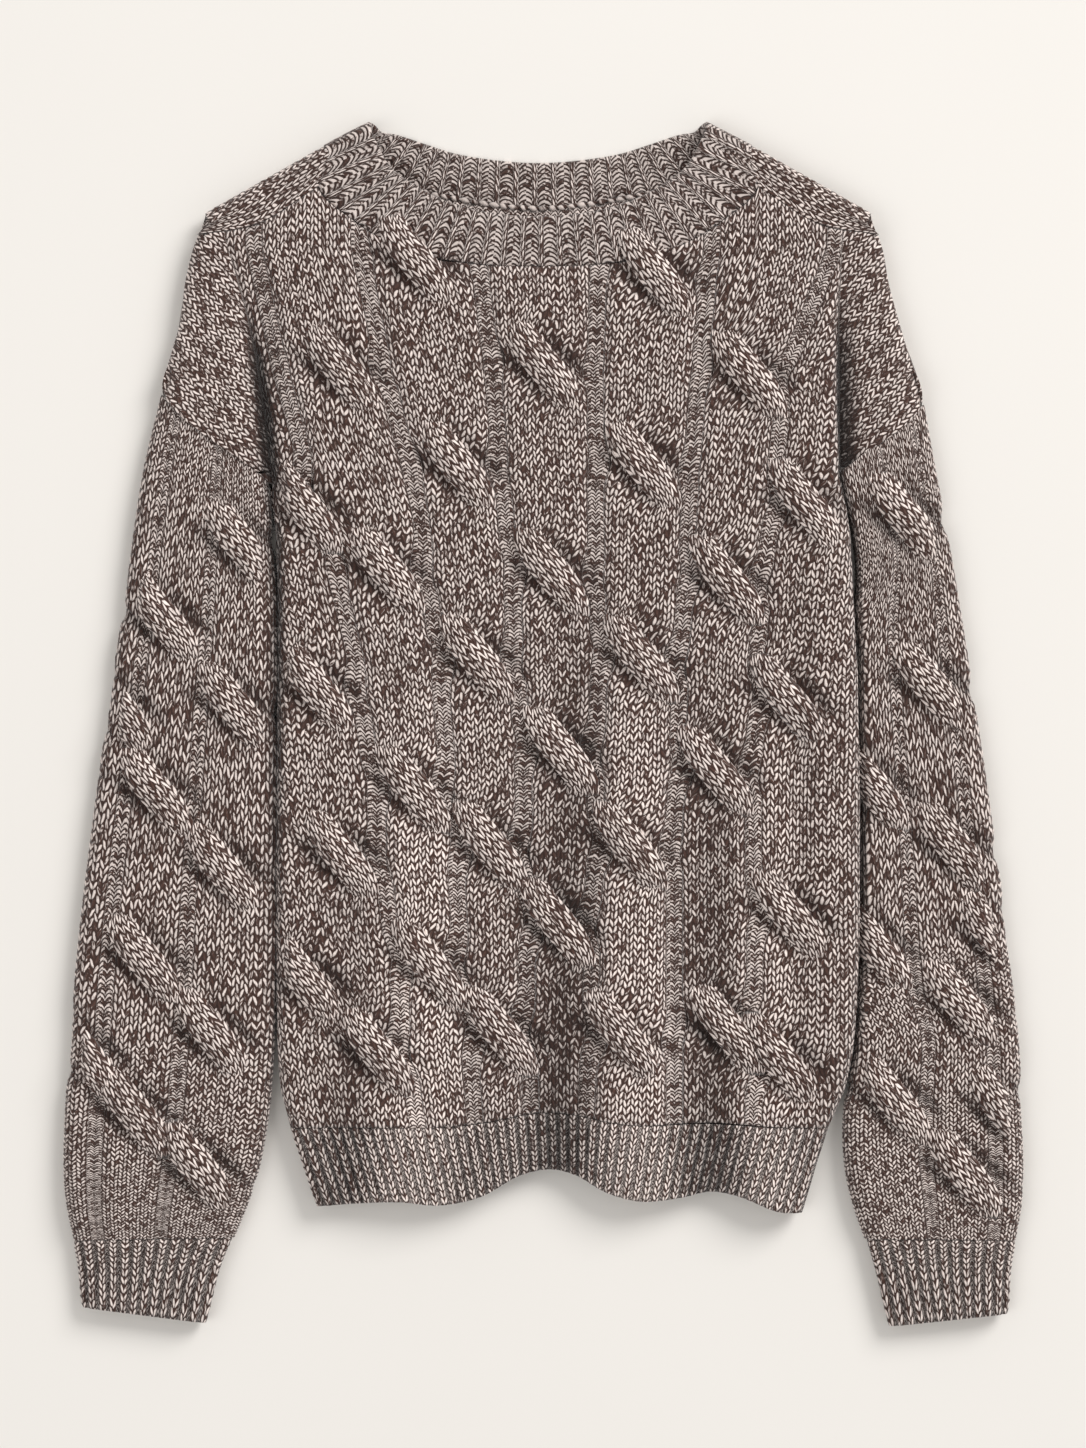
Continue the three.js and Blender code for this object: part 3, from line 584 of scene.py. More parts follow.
def body_x(wale, y):
    """x of each wale of the body, and how many wales it lies inside its column's edges.

    A column shows as many wales as it has room for; the others run out under the gutters."""
    rows = np.array(GUTTERS, float)
    gutters = [np.interp(y, rows[:, 0], rows[:, k + 1]) for k in range(6)]
    half = GUTTER_WIDTH / 2
    x = gutters[0] - half + (wale - FIRST_GUTTER) * WALE
    room = 1.0 + 0 * x
    for k, (start, middle) in enumerate(zip(GUTTER_STARTS, gutters)):
        beyond = wale - start
        x = np.where(beyond > 0, middle - half + beyond * GUTTER_WIDTH / GUTTER_WALES, x)
        room = np.where(beyond > 0, 1.0, room)
        past = beyond - GUTTER_WALES
        if k < 5:
            low, high = middle + half, gutters[k + 1] - half
            free = (low + high) / 2 + (past - CABLE_WALES / 2) * WALE
            x = np.where(past > 0, np.clip(free, low, high), x)
            room = np.where(past > 0, np.minimum(free - low, high - free) / WALE, room)
        else:
            x = np.where(past > 0, middle + half + past * WALE, x)
    return x, np.clip(room, 0, 1)


def cap_line(side, share):
    """Armhole and drop shoulder: the outer edge of the front above the underarm."""
    underarm = np.array([SIDE[side][-1]], float)
    return evenly(np.concatenate([underarm, DROP[side]]), share)


def body_edge(side, y):
    """x of the fold at a side of the body, and of the crease that goes on from it above the underarm."""
    return np.where(y > CREASE[side][0][1], crease_x(side, y), column_at(SIDE[side], y))


def draw_in(x, y):
    """How far a crossing pulls the wales beside it towards its strand."""
    shift = np.zeros(np.shape(x))
    for cx, cy in BODY_CROSSINGS:
        along, away = strand_place(x - cx, y - cy)
        near = np.clip(1 - (along / STRAND_REACH) ** 2, 0, 1)
        beside = np.exp(-((np.abs(away) - DRAW_AWAY) / DRAW_WIDTH) ** 2)
        shift -= DRAW_IN * np.sign(away) * (near * beside)
    return shift


def front_plan(wale, course, with_room=False):
    """Where each stitch of the front lies, seen from above.

    x depends on y and y on x, so a first guess is improved four times."""
    share = course / FRONT_COURSES
    wale_in = np.clip(wale, CAP_WALES, FRONT_WALES - CAP_WALES)
    y = mix(HEM_TOP, FIRST_GUESS, share)
    for _ in range(4):
        free, room = body_x(wale_in, y)
        x = np.clip(free, body_edge("left", y), body_edge("right", y))
        y = mix(hem_top(x) + ROW_GAP / 2, front_top(x), share)
    if with_room:
        return x, y, free, room
    inside = np.minimum(x - body_edge("left", y), body_edge("right", y) - x)
    x = x + draw_in(x, y) * smooth(inside, *DRAW_CLEAR)
    for side, beyond in (("left", (CAP_WALES - wale) / CAP_WALES),
                         ("right", (wale - FRONT_WALES + CAP_WALES) / CAP_WALES)):
        underarm = SIDE[side][-1][1]
        up = np.clip((y - underarm) / (DROP[side][-1][1] - underarm), 0, 1)
        outline = cap_line(side, up)
        fan = np.clip(beyond, 0, 1) * (y > underarm + CAP_START)
        x = mix(x, outline[..., 0], fan)
        y = mix(y, outline[..., 1], fan)
    return x, y


def front_shown(wale, course):
    """1 where a wale shows, falling to 0 where it has run out round an edge or into a gutter."""
    x, y, free, room = front_plan(wale, course, True)
    left = (free - body_edge("left", y)) / WALE
    right = (body_edge("right", y) - free) / WALE
    body = np.clip(np.minimum(left, right), 0, 1) * room
    caps = np.zeros_like(x)
    for side, beyond in (("left", CAP_WALES - wale), ("right", wale - FRONT_WALES + CAP_WALES)):
        spread = np.clip((y - SIDE[side][-1][1]) / 12, 0, 1)
        caps = np.where(beyond > 0, np.clip(beyond, 0, 1) * spread * CAP_RELIEF, caps)
    return np.where((wale < CAP_WALES) | (wale > FRONT_WALES - CAP_WALES), caps, body)


print("front:", FRONT_WALES, "wales by", FRONT_COURSES, "courses")

# %% [markdown]
# ## A panel, stitch by stitch
# Every flat piece is laid out in the same way, from its own functions: where a wale and a course lie,
# which wales are purl and how far they swell. The stitches then rise along the normals of that plain
# face, so they lean round the folds with it. The inside only needs the plain face, one wall lower.

# %% Layers of a knitted piece
def knit_layers(wales, courses, place, purl_of, swell_of, plain, shown_of=None, inner_place=None,
                painted_shade_of=None):
    """The outer face stitch by stitch, and the plain inside of it, which has plain columns and rows."""
    wale, course = np.meshgrid(np.linspace(0, wales, wales * FINE_ACROSS + 1),
                               np.linspace(0, courses, courses * FINE_ALONG + 1))
    shown = 1.0 if shown_of is None else shown_of(wale, course)
    ends = np.clip(np.minimum(course, courses - course) / 1.5, 0, 1)
    rims = mix(RIM_RELIEF, 1, ends)
    shifted = course + v_shift(wale) * ends * shown
    base = place(wale, shifted)
    purl = purl_of(wale)
    normals = surface_normals(base)
    lift = stitch_height(wale, course, purl) + swell_of(wale, base[..., 0], base[..., 1])
    outer = base + normals * (lift * rims * shown)[..., None]
    flat_wale, flat_course = np.meshgrid(np.linspace(0, wales, plain[0] + 1),
                                         np.linspace(0, courses, plain[1] + 1))
    lower = (inner_place or place)(flat_wale, flat_course)
    lower[..., 2] -= WALL
    knit = np.stack([wale, shifted], axis=-1)
    painted_shade = 0.0 if painted_shade_of is None else painted_shade_of(wale, base[..., 0], base[..., 1])
    return (layer(outer, knit, purl, painted_shade),
            layer(lower, np.stack([flat_wale, flat_course], axis=-1), 1.0))


print("a stitch has", FINE_ACROSS * FINE_ALONG, "faces")

# %% [markdown]
# ## The front panel
# The cables stand proud of the gutters and dip beside each crossing. Thick wool lets little light
# into its hollows, less than a smooth wall of the same height would, so that shade is painted in: each
# point carries a painted shade that darkens the yarn in the gutters, notches and creases and beside the
# left sleeve. Along the flutes it paints shade in the troughs and light on the ridges.

# %% Front panel
STRAND_DIP = 1.2           # mm by which the knitting under a strand gives way
# Painted shade that each hollow puts on the yarn; below 0 it is painted light.
GUTTER_PAINTED_SHADE = 0.32
NOTCH_PAINTED_SHADE = 1.2
CREASE_PAINTED_SHADE = 1.45
SLEEVE_GAP_PAINTED_SHADE = 1.2
FLUTE_PAINTED_LIGHT_AND_SHADE = 0.21          # painted shade for each millimetre that a flute sinks, painted light for each that it rises
# the strongest painted light, on the ridges of the flutes
MOST_PAINTED_LIGHT = -0.35


def front_purl(wale):
    purl = np.zeros_like(wale)
    for start in GUTTER_STARTS:
        purl = np.where((wale > start) & (wale < start + GUTTER_WALES), 1.0, purl)
    return purl


def from_gutter(wale):
    """Wales from the middle of the nearest gutter."""
    middles = np.array(GUTTER_STARTS) + GUTTER_WALES / 2
    return np.min([np.abs(wale - middle) for middle in middles], axis=0)


def front_place(wale, course):
    x, y = front_plan(wale, course)
    return np.stack([x, y, front_height(x, y)], axis=-1)


def front_inner_place(wale, course):
    x, y = front_plan(wale, course)
    return np.stack([x, y, front_height(x, y, 16.0)], axis=-1)


def front_swell(wale, x, y):
    """The cables stand proud of the gutters beside them, and dip under and beside each crossing."""
    height = CABLE_SWELL * smooth(from_gutter(wale), 0.6, 2.6)
    height -= (NOTCH_DEPTH * notch_share(x, y, BODY_CROSSINGS)
               + STRAND_DIP * under_strand(x, y, BODY_CROSSINGS))
    return height * edge_share(x, y)


def front_painted_shade(wale, x, y):
    """Painted shade in the gutters, the notches and the creases and beside the left sleeve, with
    painted shade in the troughs of the flutes and painted light on their ridges.
    """
    gutter = GUTTER_PAINTED_SHADE * (1 - smooth(from_gutter(wale), 0.7, 1.8))
    crease = CREASE_PAINTED_SHADE * smooth(-crease_height(x, y), 2.5, 7.0)
    # painted shade in the gap between the body and the left sleeve, below the crease
    sleeve_gap_shade = smooth(x - body_edge("left", y), 8.0, 1.0) * smooth(y, -200, 60)
    side = np.where(y < CREASE["left"][0][1] + 5, SLEEVE_GAP_PAINTED_SHADE * sleeve_gap_shade, 0)
    notch = NOTCH_PAINTED_SHADE * notch_share(x, y, BODY_CROSSINGS)
    painted_shade = np.max([gutter, notch, crease, side], axis=0)
    return np.clip(painted_shade - FLUTE_PAINTED_LIGHT_AND_SHADE * flute_height(x, y), MOST_PAINTED_LIGHT, CREASE_PAINTED_SHADE)


def cap_knit(face, side):
    """Wales of the drop shoulder, which run down and inwards from its outer edge."""
    x, y = face["points"][..., 0], face["points"][..., 1]
    inwards = 1 if side == "left" else -1
    across = inwards * x * math.sin(CAP_LEAN) + y * math.cos(CAP_LEAN)
    down = inwards * x * math.cos(CAP_LEAN) - y * math.sin(CAP_LEAN)
    return np.stack([across / WALE + 500.0, -down / COURSE], axis=-1)


front_outer, front_inner = knit_layers(FRONT_WALES, FRONT_COURSES, front_place, front_purl,
                                       front_swell, plain=(137, 20), shown_of=front_shown,
                                       inner_place=front_inner_place, painted_shade_of=front_painted_shade)
front_wale = front_outer["knit"][..., :1]
for side, on_cap in (("left", front_wale < CAP_WALES),
                     ("right", front_wale > FRONT_WALES - CAP_WALES)):
    high_up = front_outer["points"][..., 1:2] > SIDE[side][-1][1]
    own_way = cap_knit(front_outer, side)
    front_outer["knit"] = np.where(on_cap & high_up, own_way, front_outer["knit"])
front = shell("front_panel_knit", front_outer, front_inner)
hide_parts("front_panel")
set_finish(front, "cable_knit")

# %% [markdown]
# ## Cable crossings
# Where a cable crosses, four or five wales leave their column and pass over the others, down to the
# right. On the needles they are knitted out of turn; here each strand is a ribbon of stitches of its
# own. It rises out of the column, follows an S over it and sinks in again, so its rim is never seen
# and one face closes it below. The wales beneath dip and draw in beside it, which gives the dark
# notches, and painted shade darkens them further. The strand itself is lightened by painted light.

# %% Strands
STRAND_WALES = 5
STRAND_COURSES = 11
STRAND_LIFT = 5.6
STRAND_SINK = 2.6
STRAND_PAINTED_LIGHT = -0.22      # painted light on a strand, as it stands clear of its neighbours
STRAND_INSET = 2.5         # a strand that reaches a folded edge sinks in before it comes this near


def strand_points(cx, cy, height_at, edges):
    """One crossing as an outer face: wales across, courses down the strand."""
    wale, course = np.meshgrid(np.linspace(0, STRAND_WALES, STRAND_WALES * FINE_ACROSS + 1),
                               np.linspace(0, STRAND_COURSES, STRAND_COURSES * FINE_ALONG + 1))
    ends = np.clip(np.minimum(course, STRAND_COURSES - course) / 1.5, 0, 1)
    shifted = course - v_shift(wale) * ends
    down = 2 * shifted / STRAND_COURSES - 1
    aside = 2 * wale / STRAND_WALES - 1
    path = np.stack([STRAND_ACROSS * (3 * down - down ** 3) / 2, -STRAND_DOWN * down], axis=-1)
    way = unit(np.stack([STRAND_ACROSS * (3 - 3 * down ** 2) / 2, 0 * down - STRAND_DOWN], axis=-1))
    side = np.stack([-way[..., 1], way[..., 0]], axis=-1)
    narrow = STRAND_HALF * (1 - 0.3 * down ** 2)
    plan = path + side * (aside * narrow)[..., None] + (cx, cy)
    left, right = edges(plan[..., 1])
    clear = np.minimum(plan[..., 0] - left, right - plan[..., 0])
    inside = smooth(clear, STRAND_INSET, STRAND_INSET + 8)
    plan[..., 0] = np.clip(plan[..., 0], left + STRAND_INSET, right - STRAND_INSET)
    dome = np.sqrt(np.clip(1 - aside ** 2, 0, 1)) * (1 - down ** 2) ** 0.7 * inside
    ground = height_at(plan[..., 0], plan[..., 1])
    z = ground + (STRAND_LIFT + STRAND_SINK) * dome - STRAND_SINK
    base = np.concatenate([plan, z[..., None]], axis=-1)
    normals = surface_normals(base)
    normals *= np.sign(np.mean(normals[..., 2]))
    points = base + normals * (stitch_height(wale, course, 0.0) * ends * inside)[..., None]
    return points, np.stack([wale, -shifted], axis=-1)


def strands(name, crossings, height_at, edges):
    """All the crossings of a piece in one mesh. Their rims are sunk in the knitting and closed."""
    bm = bmesh.new()
    knit_map, bake_map = [], []
    cells = math.ceil(math.sqrt(len(crossings)))
    for number, (cx, cy) in enumerate(crossings):
        points, knit = strand_points(cx, cy, height_at, edges)
        rows, columns = points.shape[:2]
        made = bmesh.ops.create_grid(bm, x_segments=columns - 1, y_segments=rows - 1, size=1)
        for vert, place in zip(made["verts"], points.reshape(-1, 3) * MM):
            vert.co = place
        knit = knit.reshape(-1, 2)
        knit_map.append(knit + (7.0 * number, 13.0 * number))
        cell = (number % cells, number // cells)
        bake_map.append((knit / (STRAND_WALES, -STRAND_COURSES) * 0.9 + 0.05 + cell) / cells)
    bmesh.ops.holes_fill(bm, edges=[edge for edge in bm.edges if edge.is_boundary], sides=0)
    bmesh.ops.recalc_face_normals(bm, faces=bm.faces)
    mesh = bpy.data.meshes.new(name)
    bm.to_mesh(mesh)
    open_edges = sum(edge.is_boundary for edge in bm.edges)
    bm.free()
    corner = np.zeros(len(mesh.loops), int)
    mesh.loops.foreach_get("vertex_index", corner)
    for title, values in (("Knit", knit_map), ("OFBake", bake_map)):
        places = np.concatenate(values)[corner]
        mesh.uv_layers.new(name=title).data.foreach_set("uv", places.ravel())
    mesh.attributes.new("purl", "FLOAT", "POINT")
    # Painted light over the whole strand, which stands clear of the knitting beside it
    strand_painted_light = np.full(len(mesh.vertices), STRAND_PAINTED_LIGHT, np.float32)
    mesh.attributes.new("painted_shade", "FLOAT", "POINT").data.foreach_set("value", strand_painted_light)
    mesh.shade_smooth()
    piece = bpy.data.objects.new(name, mesh)
    bpy.context.scene.collection.objects.link(piece)
    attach(piece, "root")
    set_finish(piece, "cable_knit")
    print(f"{name}: {len(crossings)} crossings, {triangle_count(mesh)} triangles,",
          f"{open_edges} open edges")


def front_ground(x, y):
    return front_height(x, y) + CABLE_SWELL * edge_share(x, y)


def body_edges(y):
    return body_edge("left", y), body_edge("right", y)


strands("front_cable_strands", BODY_CROSSINGS, front_ground, body_edges)

# %% [markdown]
# ## The ribbed hem
# One rib is one knit wale with a purl wale beside it, which sinks back. The ribs are knitted straight
# on from the body, so they keep the same wall and fold over the same flutes. The lower edge waves.

# %% Front hem
HEM_RIBS = 52
RIB_WALES = 2
HEM_COURSES = 11
RIB_DEPTH = 1.5
KNIT_SHARE = 0.66          # of a rib's width
# Painted shade in the sunk purl wales of a rib, and the most that it may reach
RIB_PAINTED_SHADE = 1.0
MOST_RIB_PAINTED_SHADE = 1.4
BACK_HEM_SHORT = 2.0


def rib_purl(wale):
    return smooth(np.abs(np.mod(wale, RIB_WALES) - 1.5), 0.55, 0.45)


def rib_place(wale):
    """Where a wale lies when the knit wales of the ribs spread over the purl ones."""
    rib = np.floor(wale / RIB_WALES)
    within = wale / RIB_WALES - rib
    return RIB_WALES * (rib + np.interp(within, [0, 0.5, 1], [0, KNIT_SHARE, 1]))


def rib_swell(wale, x, y):
    return RIB_DEPTH * (1 - rib_purl(wale)) * edge_share(x, y)


def hem_plan(wale, course, ribs, short=0.0):
    across = rib_place(wale) / (ribs * RIB_WALES)
    left, right = SIDE["left"][0][0], SIDE["right"][0][0]
    top_x = mix(left, right, across)
    bottom = evenly(HEM_EDGE, across)
    ends = np.sqrt(np.sin(np.pi * np.clip(across, 0, 1)))
    top_y = mix(HEM_TOP, hem_top(top_x), ends) - ROW_GAP / 2
    up = course / HEM_COURSES
    bow = {side: curve(HEM_SIDE[side], 2 * (1 - up)) for side in HEM_SIDE}
    rise = {side: bow[side][..., 0] - mix(float(HEM_SIDE[side][2][0]), float(HEM_SIDE[side][0][0]), up)
            for side in HEM_SIDE}
    x = mix(bottom[..., 0], top_x, up) + mix(rise["left"], rise["right"], across)
    return x, mix(bottom[..., 1] + short, top_y, up)


def front_hem_place(wale, course):
    x, y = hem_plan(wale, course, HEM_RIBS)
    return np.stack([x, y, front_height(x, y)], axis=-1)


def rib_painted_shade(wale, x, y):
    # painted shade in the purl wales, with painted shade in the flutes' troughs and painted light on
    # their ridges
    painted_shade = RIB_PAINTED_SHADE * rib_purl(wale) - FLUTE_PAINTED_LIGHT_AND_SHADE * flute_height(x, y)
    return np.clip(painted_shade, MOST_PAINTED_LIGHT, MOST_RIB_PAINTED_SHADE)


hem_outer, hem_inner = knit_layers(HEM_RIBS * RIB_WALES, HEM_COURSES, front_hem_place, rib_purl,
                                   rib_swell, plain=(52, 3), painted_shade_of=rib_painted_shade)
front_hem = shell("front_hem_ribs", hem_outer, hem_inner)
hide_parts("front_hem_rib")
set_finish(front_hem, "rib_knit")

# %% [markdown]
# ## Sleeves and cuffs
# A sleeve is a tube that lies almost flat. Its upper half is knitted stitch by stitch, with the same
# cables and gutters as the body, and its underside only needs to be plain where it rests. The wales are
# spaced by the length of the cloth round the section, so they stay even over the rounded edges.

# %% Tubes
SLEEVES = {
    "left": [(-231.5, 201, -169, 149), (-241.5, 155, -166, 112), (-252, 82, -164, 60),
             (-263.5, 5.5, -164, -7), (-273.5, -69.5, -164.3, -77), (-281, -132, -164.5, -138),
             (-286, -193, -166.5, -196), (-289, -235, -170, -238), (-290, -269, -176, -271),
             (-288.5, -293, -183, -293.5), (-285, -315, -190, -313)],
    "right": [(231, 195, 182, 154), (237.5, 155, 190, 114), (244, 118, 192, 86), (252, 70, 181, 56),
              (259.5, 22, 178, 16), (268, -35, 178, -38), (275.5, -88, 178, -90),
              (281.5, -135, 177.5, -138), (284.5, -162, 180, -163), (287.5, -192, 190.5, -190),
              (289.5, -225, 187, -225), (290.5, -248, 185.5, -248), (290.5, -271, 187, -271),
              (290, -293, 191.5, -293.5), (287, -315, 198, -314)],
}
CUFFS = {
    "left": [(-285, -315, -190, -313), (-282, -331, -197.5, -331), (-280, -356, -206, -365.5)],
    "right": [(287, -315, 198, -314), (284, -331, 203, -331), (282.5, -360, 211.5, -367.5)],
}
SLEEVE_WALES = 24
SLEEVE_COURSES = 112
SLEEVE_GUTTERS = (3, 12)     # first wale of each gutter, from the outer edge
CUFF_RIBS = 13
CUFF_COURSES = 11
ARMHOLE_GAP = 0.4
TUBE_INSIDE_COLUMNS = 24
UNDER_SHARES = np.array([0.985, 0.95, 0.88, 0.7, 0.5, 0.3, 0.12, 0.05, 0.015])


def section_shares(count, width, top):
    """Shares across a flat tube that are even along its rounded top."""
    share = (1 - np.cos(np.linspace(0, math.pi, 2000))) / 2
    height = top / 2 * full_height(np.minimum(share, 1 - share) * width)
    steps = np.hypot(np.diff(share * width), np.diff(height))
    length = np.concatenate([[0], np.cumsum(steps)])
    return np.interp(np.linspace(0, 1, count), length / length[-1], share)


def pressed_top(x, y, top):
    """The height that a sleeve has room for under and beside the right side of the body."""
    room = PRESSED_TOP + PRESSED_RISE * np.maximum(0, x - column_at(SIDE["right"], y) - 1)
    within = (x > 0) & (y > TUCK_SHARES[0][0]) & (y < TUCK_SHARES[-1][0])
    return np.where(within, np.minimum(top, mix(top, room, tuck_share(y))), top)


def tube_points(rows, share, layer_side, down, top, inset, gap):
    """Points of a flat tube: share across it, 1 on the upper side or -1 below, share of the way down.

    A sleeve thins towards its cuff."""
    top = np.minimum(top, mix(top, CUFF_TOP, smooth(down, 0.93, 1.0)))
    rows = np.array(rows, float)
    outer = curve(rows[:, :2], down * (len(rows) - 1))
    inner = curve(rows[:, 2:], down * (len(rows) - 1))
    way = (rows[1, :2] - rows[0, :2]) + (rows[1, 2:] - rows[0, 2:])
    shift = gap * (1 - down)[..., None] * way / np.linalg.norm(way)
    outer, inner = outer + shift, inner + shift
    width = np.linalg.norm(outer - inner, axis=-1)
    full = full_height(np.minimum(share, 1 - share) * width)
    squeezed = mix(inset / width, 1 - inset / width, share)
    plan = mix(outer, inner, squeezed[..., None])
    height = pressed_top(plan[..., 0], plan[..., 1], top)
    z = height / 2 + layer_side * full * (height / 2 - inset)
    return np.stack([plan[..., 0], plan[..., 1], z], axis=-1)


print("a sleeve is", SLEEVE_WALES, "wales across and", SLEEVE_COURSES, "courses long")

# %% [markdown]
# ## Knitting a tube
# The upper half carries the stitches, and the few columns below it are plain. Both ends of the grid's
# rows are the same outer edge, so merging doubles closes the tube along it. Where a sleeve is pressed
# under the body, its stitches flatten.

# %% Layers of a tube
# Painted shade in the purl gutters of a sleeve and in the purl wales of a cuff
SLEEVE_GUTTER_PAINTED_SHADE = 0.3
CUFF_PAINTED_SHADE = 1.0


def gutter_swell(purl_of, wale):
    """1 on the knit wales and 0 in purl: at once in a rib, and with a soft slope beside a gutter."""
    steps = (0,) if purl_of is rib_purl else (-0.8, -0.4, 0, 0.4, 0.8)
    return 1 - np.mean([purl_of(wale + step) for step in steps], axis=0)


def sleeve_purl(wale):
    purl = np.zeros_like(wale)
    for start in SLEEVE_GUTTERS:
        purl = np.where((wale > start) & (wale < start + GUTTER_WALES), 1.0, purl)
    return purl


def tube_layers(rows, wales, courses, top, gap, purl_of, depth, painted_hollow_shade, crossings=()):
    """Outer face and plain inside of a sleeve or cuff."""
    width = np.mean([math.dist(row[:2], row[2:]) for row in rows])
    over = section_shares(wales * FINE_ACROSS + 1, width, top)
    if purl_of is rib_purl:
        even = np.linspace(0, wales, len(over))
        over = np.interp(rib_place(even), even, over)
    share = np.concatenate([over, UNDER_SHARES, over[:1]])
    side = np.concatenate([np.ones(len(over)), -np.ones(len(UNDER_SHARES)), [1]])
    under = np.linspace(wales, 2 * wales, len(UNDER_SHARES) + 2)[1:]
    wale = np.concatenate([np.linspace(0, wales, len(over)), under])
    upper = np.concatenate([np.ones(len(over)), np.zeros(len(UNDER_SHARES) + 1)])
    upper[0] = upper[len(over) - 1] = 0
    course = np.linspace(0, courses, courses * FINE_ALONG + 1)
    wale, course = np.meshgrid(wale, course)
    inside = course / courses
    shifted = np.clip(course + v_shift(wale) * upper * 4 * inside * (1 - inside), 0, courses)
    base = tube_points(rows, share + 0 * wale, side + 0 * wale, shifted / courses, top, 0.0, gap)
    purl = purl_of(wale) * upper
    lift = stitch_height(wale, course, purl) + depth * gutter_swell(purl_of, wale)
    room = pressed_top(base[..., 0], base[..., 1], top) - PRESSED_TOP
    room = np.clip(room / (top - PRESSED_TOP), 0, 1)
    edge = np.minimum(1, RIM_RELIEF + 3 * np.minimum(inside, 1 - inside)) * upper
    normals = surface_normals(base, True)
    normals *= np.sign(np.mean(normals[:, 1:wales * FINE_ACROSS, 2]))
    notch = notch_share(base[..., 0], base[..., 1], crossings)
    lift -= NOTCH_DEPTH * notch + STRAND_DIP * under_strand(base[..., 0], base[..., 1], crossings)
    outer = base + normals * (lift * edge * room)[..., None]
    # Painted shade beside the body, in the notches and in the gutters, on the upper half only
    beside = SLEEVE_GAP_PAINTED_SHADE if purl_of is sleeve_purl else 0
    body_gap_shade = beside * smooth(share, 0.92, 1.0) * smooth(inside, 0.7, 0.2)
    gutter = painted_hollow_shade * (1 - gutter_swell(purl_of, wale))
    painted_shade = np.max([NOTCH_PAINTED_SHADE * notch, gutter, body_gap_shade], axis=0) * upper
    knit = np.stack([wale, -shifted], axis=-1)
    picked = np.rint(np.linspace(0, len(share) - 1, TUBE_INSIDE_COLUMNS + 1)).astype(int)
    flat_share, flat_course = np.meshgrid(share[picked], np.linspace(0, courses, courses // 8 + 1))
    flat_side = side[picked] + 0 * flat_share
    lower = tube_points(rows, flat_share, flat_side, flat_course / courses, top, WALL, gap)
    flat_wale = wale[0, picked] + 0 * flat_share
    return (layer(outer, knit, purl, painted_shade),
            layer(lower, np.stack([flat_wale, -flat_course], axis=-1), 1.0))


print("knit wales of a sleeve:", SLEEVE_WALES - GUTTER_WALES * len(SLEEVE_GUTTERS))

# %% [markdown]
# ## Dressing the sleeves and cuffs
# Both sleeves come from one loop over the tables, each with its cuff. The strands of a sleeve need its
# height and its edges anywhere along it, so that they sink in where it rolls over.

# %% Sleeves and cuffs
def sleeve_ground(rows):
    """Height of a sleeve's upper face anywhere on it, and its edges."""
    rows = np.array(rows, float)
    steps = np.linspace(0, len(rows) - 1, 40)
    lines = [curve(rows[:, columns], steps) for columns in (slice(0, 2), slice(2, 4))]
    lines.sort(key=lambda line: line[0, 0])

    def height(x, y):
        full = full_height(np.min([line_distance(x, y, line) for line in lines], axis=0))
        top = pressed_top(x, y, SLEEVE_TOP)
        return top / 2 + full * (top / 2 + CABLE_SWELL * 0.9)

    def edges(y):
        return [np.interp(y, line[::-1, 1], line[::-1, 0]) for line in lines]
    return height, edges


for side in ("left", "right"):
    outer_face, inner_face = tube_layers(SLEEVES[side], SLEEVE_WALES, SLEEVE_COURSES, SLEEVE_TOP,
                                         ARMHOLE_GAP, sleeve_purl, CABLE_SWELL, SLEEVE_GUTTER_PAINTED_SHADE,
                                         SLEEVE_CROSSINGS[side])
    strands(f"{side}_sleeve_cable_strands", SLEEVE_CROSSINGS[side], *sleeve_ground(SLEEVES[side]))
    sleeve = shell(f"{side}_sleeve_knit", outer_face, inner_face, tube=True)
    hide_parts(f"{side}_sleeve")
    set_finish(sleeve, "cable_knit")
    outer_face, inner_face = tube_layers(CUFFS[side], CUFF_RIBS * RIB_WALES, CUFF_COURSES, CUFF_TOP,
                                         SEAM_GAP, rib_purl, RIB_DEPTH, CUFF_PAINTED_SHADE)
    cuff = shell(f"{side}_cuff_ribs", outer_face, inner_face, tube=True)
    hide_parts(f"{side}_cuff")
    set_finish(cuff, "rib_knit")

# %% [markdown]
# ## The neckband
# The band is a ring of ribs that is linked to the neck, so it runs round over both shoulder folds. Its
# front lies on top and shows its outside, its back lies on the table and shows its inside. One grid
# goes round the neck one way and round the band's thickness the other way, and merging its doubles
# closes it into a ring.

# %% Neckband
BAND_RIBS = 54
BAND_COURSES = 5
BAND_ROWS = 15
BAND_COLUMNS = 8           # columns of faces in a rib
BAND_PURL_SHARE = 0.74     # of a rib's width, the rest is one knit wale
BAND_RIB = 1.3
RIM_ROUND = 0.9
# painted shade in the band's purl wales
BAND_PAINTED_SHADE = 0.45


def band_wale(columns):
    """Wale numbers round the band: an odd step is the narrow knit wale of a rib."""
    rib = columns / BAND_COLUMNS
    within = rib - np.floor(rib)
    knit = 1 + (within - BAND_PURL_SHARE) / (1 - BAND_PURL_SHARE)
    return 2 * np.floor(rib) + np.where(within < BAND_PURL_SHARE, within / BAND_PURL_SHARE, knit)


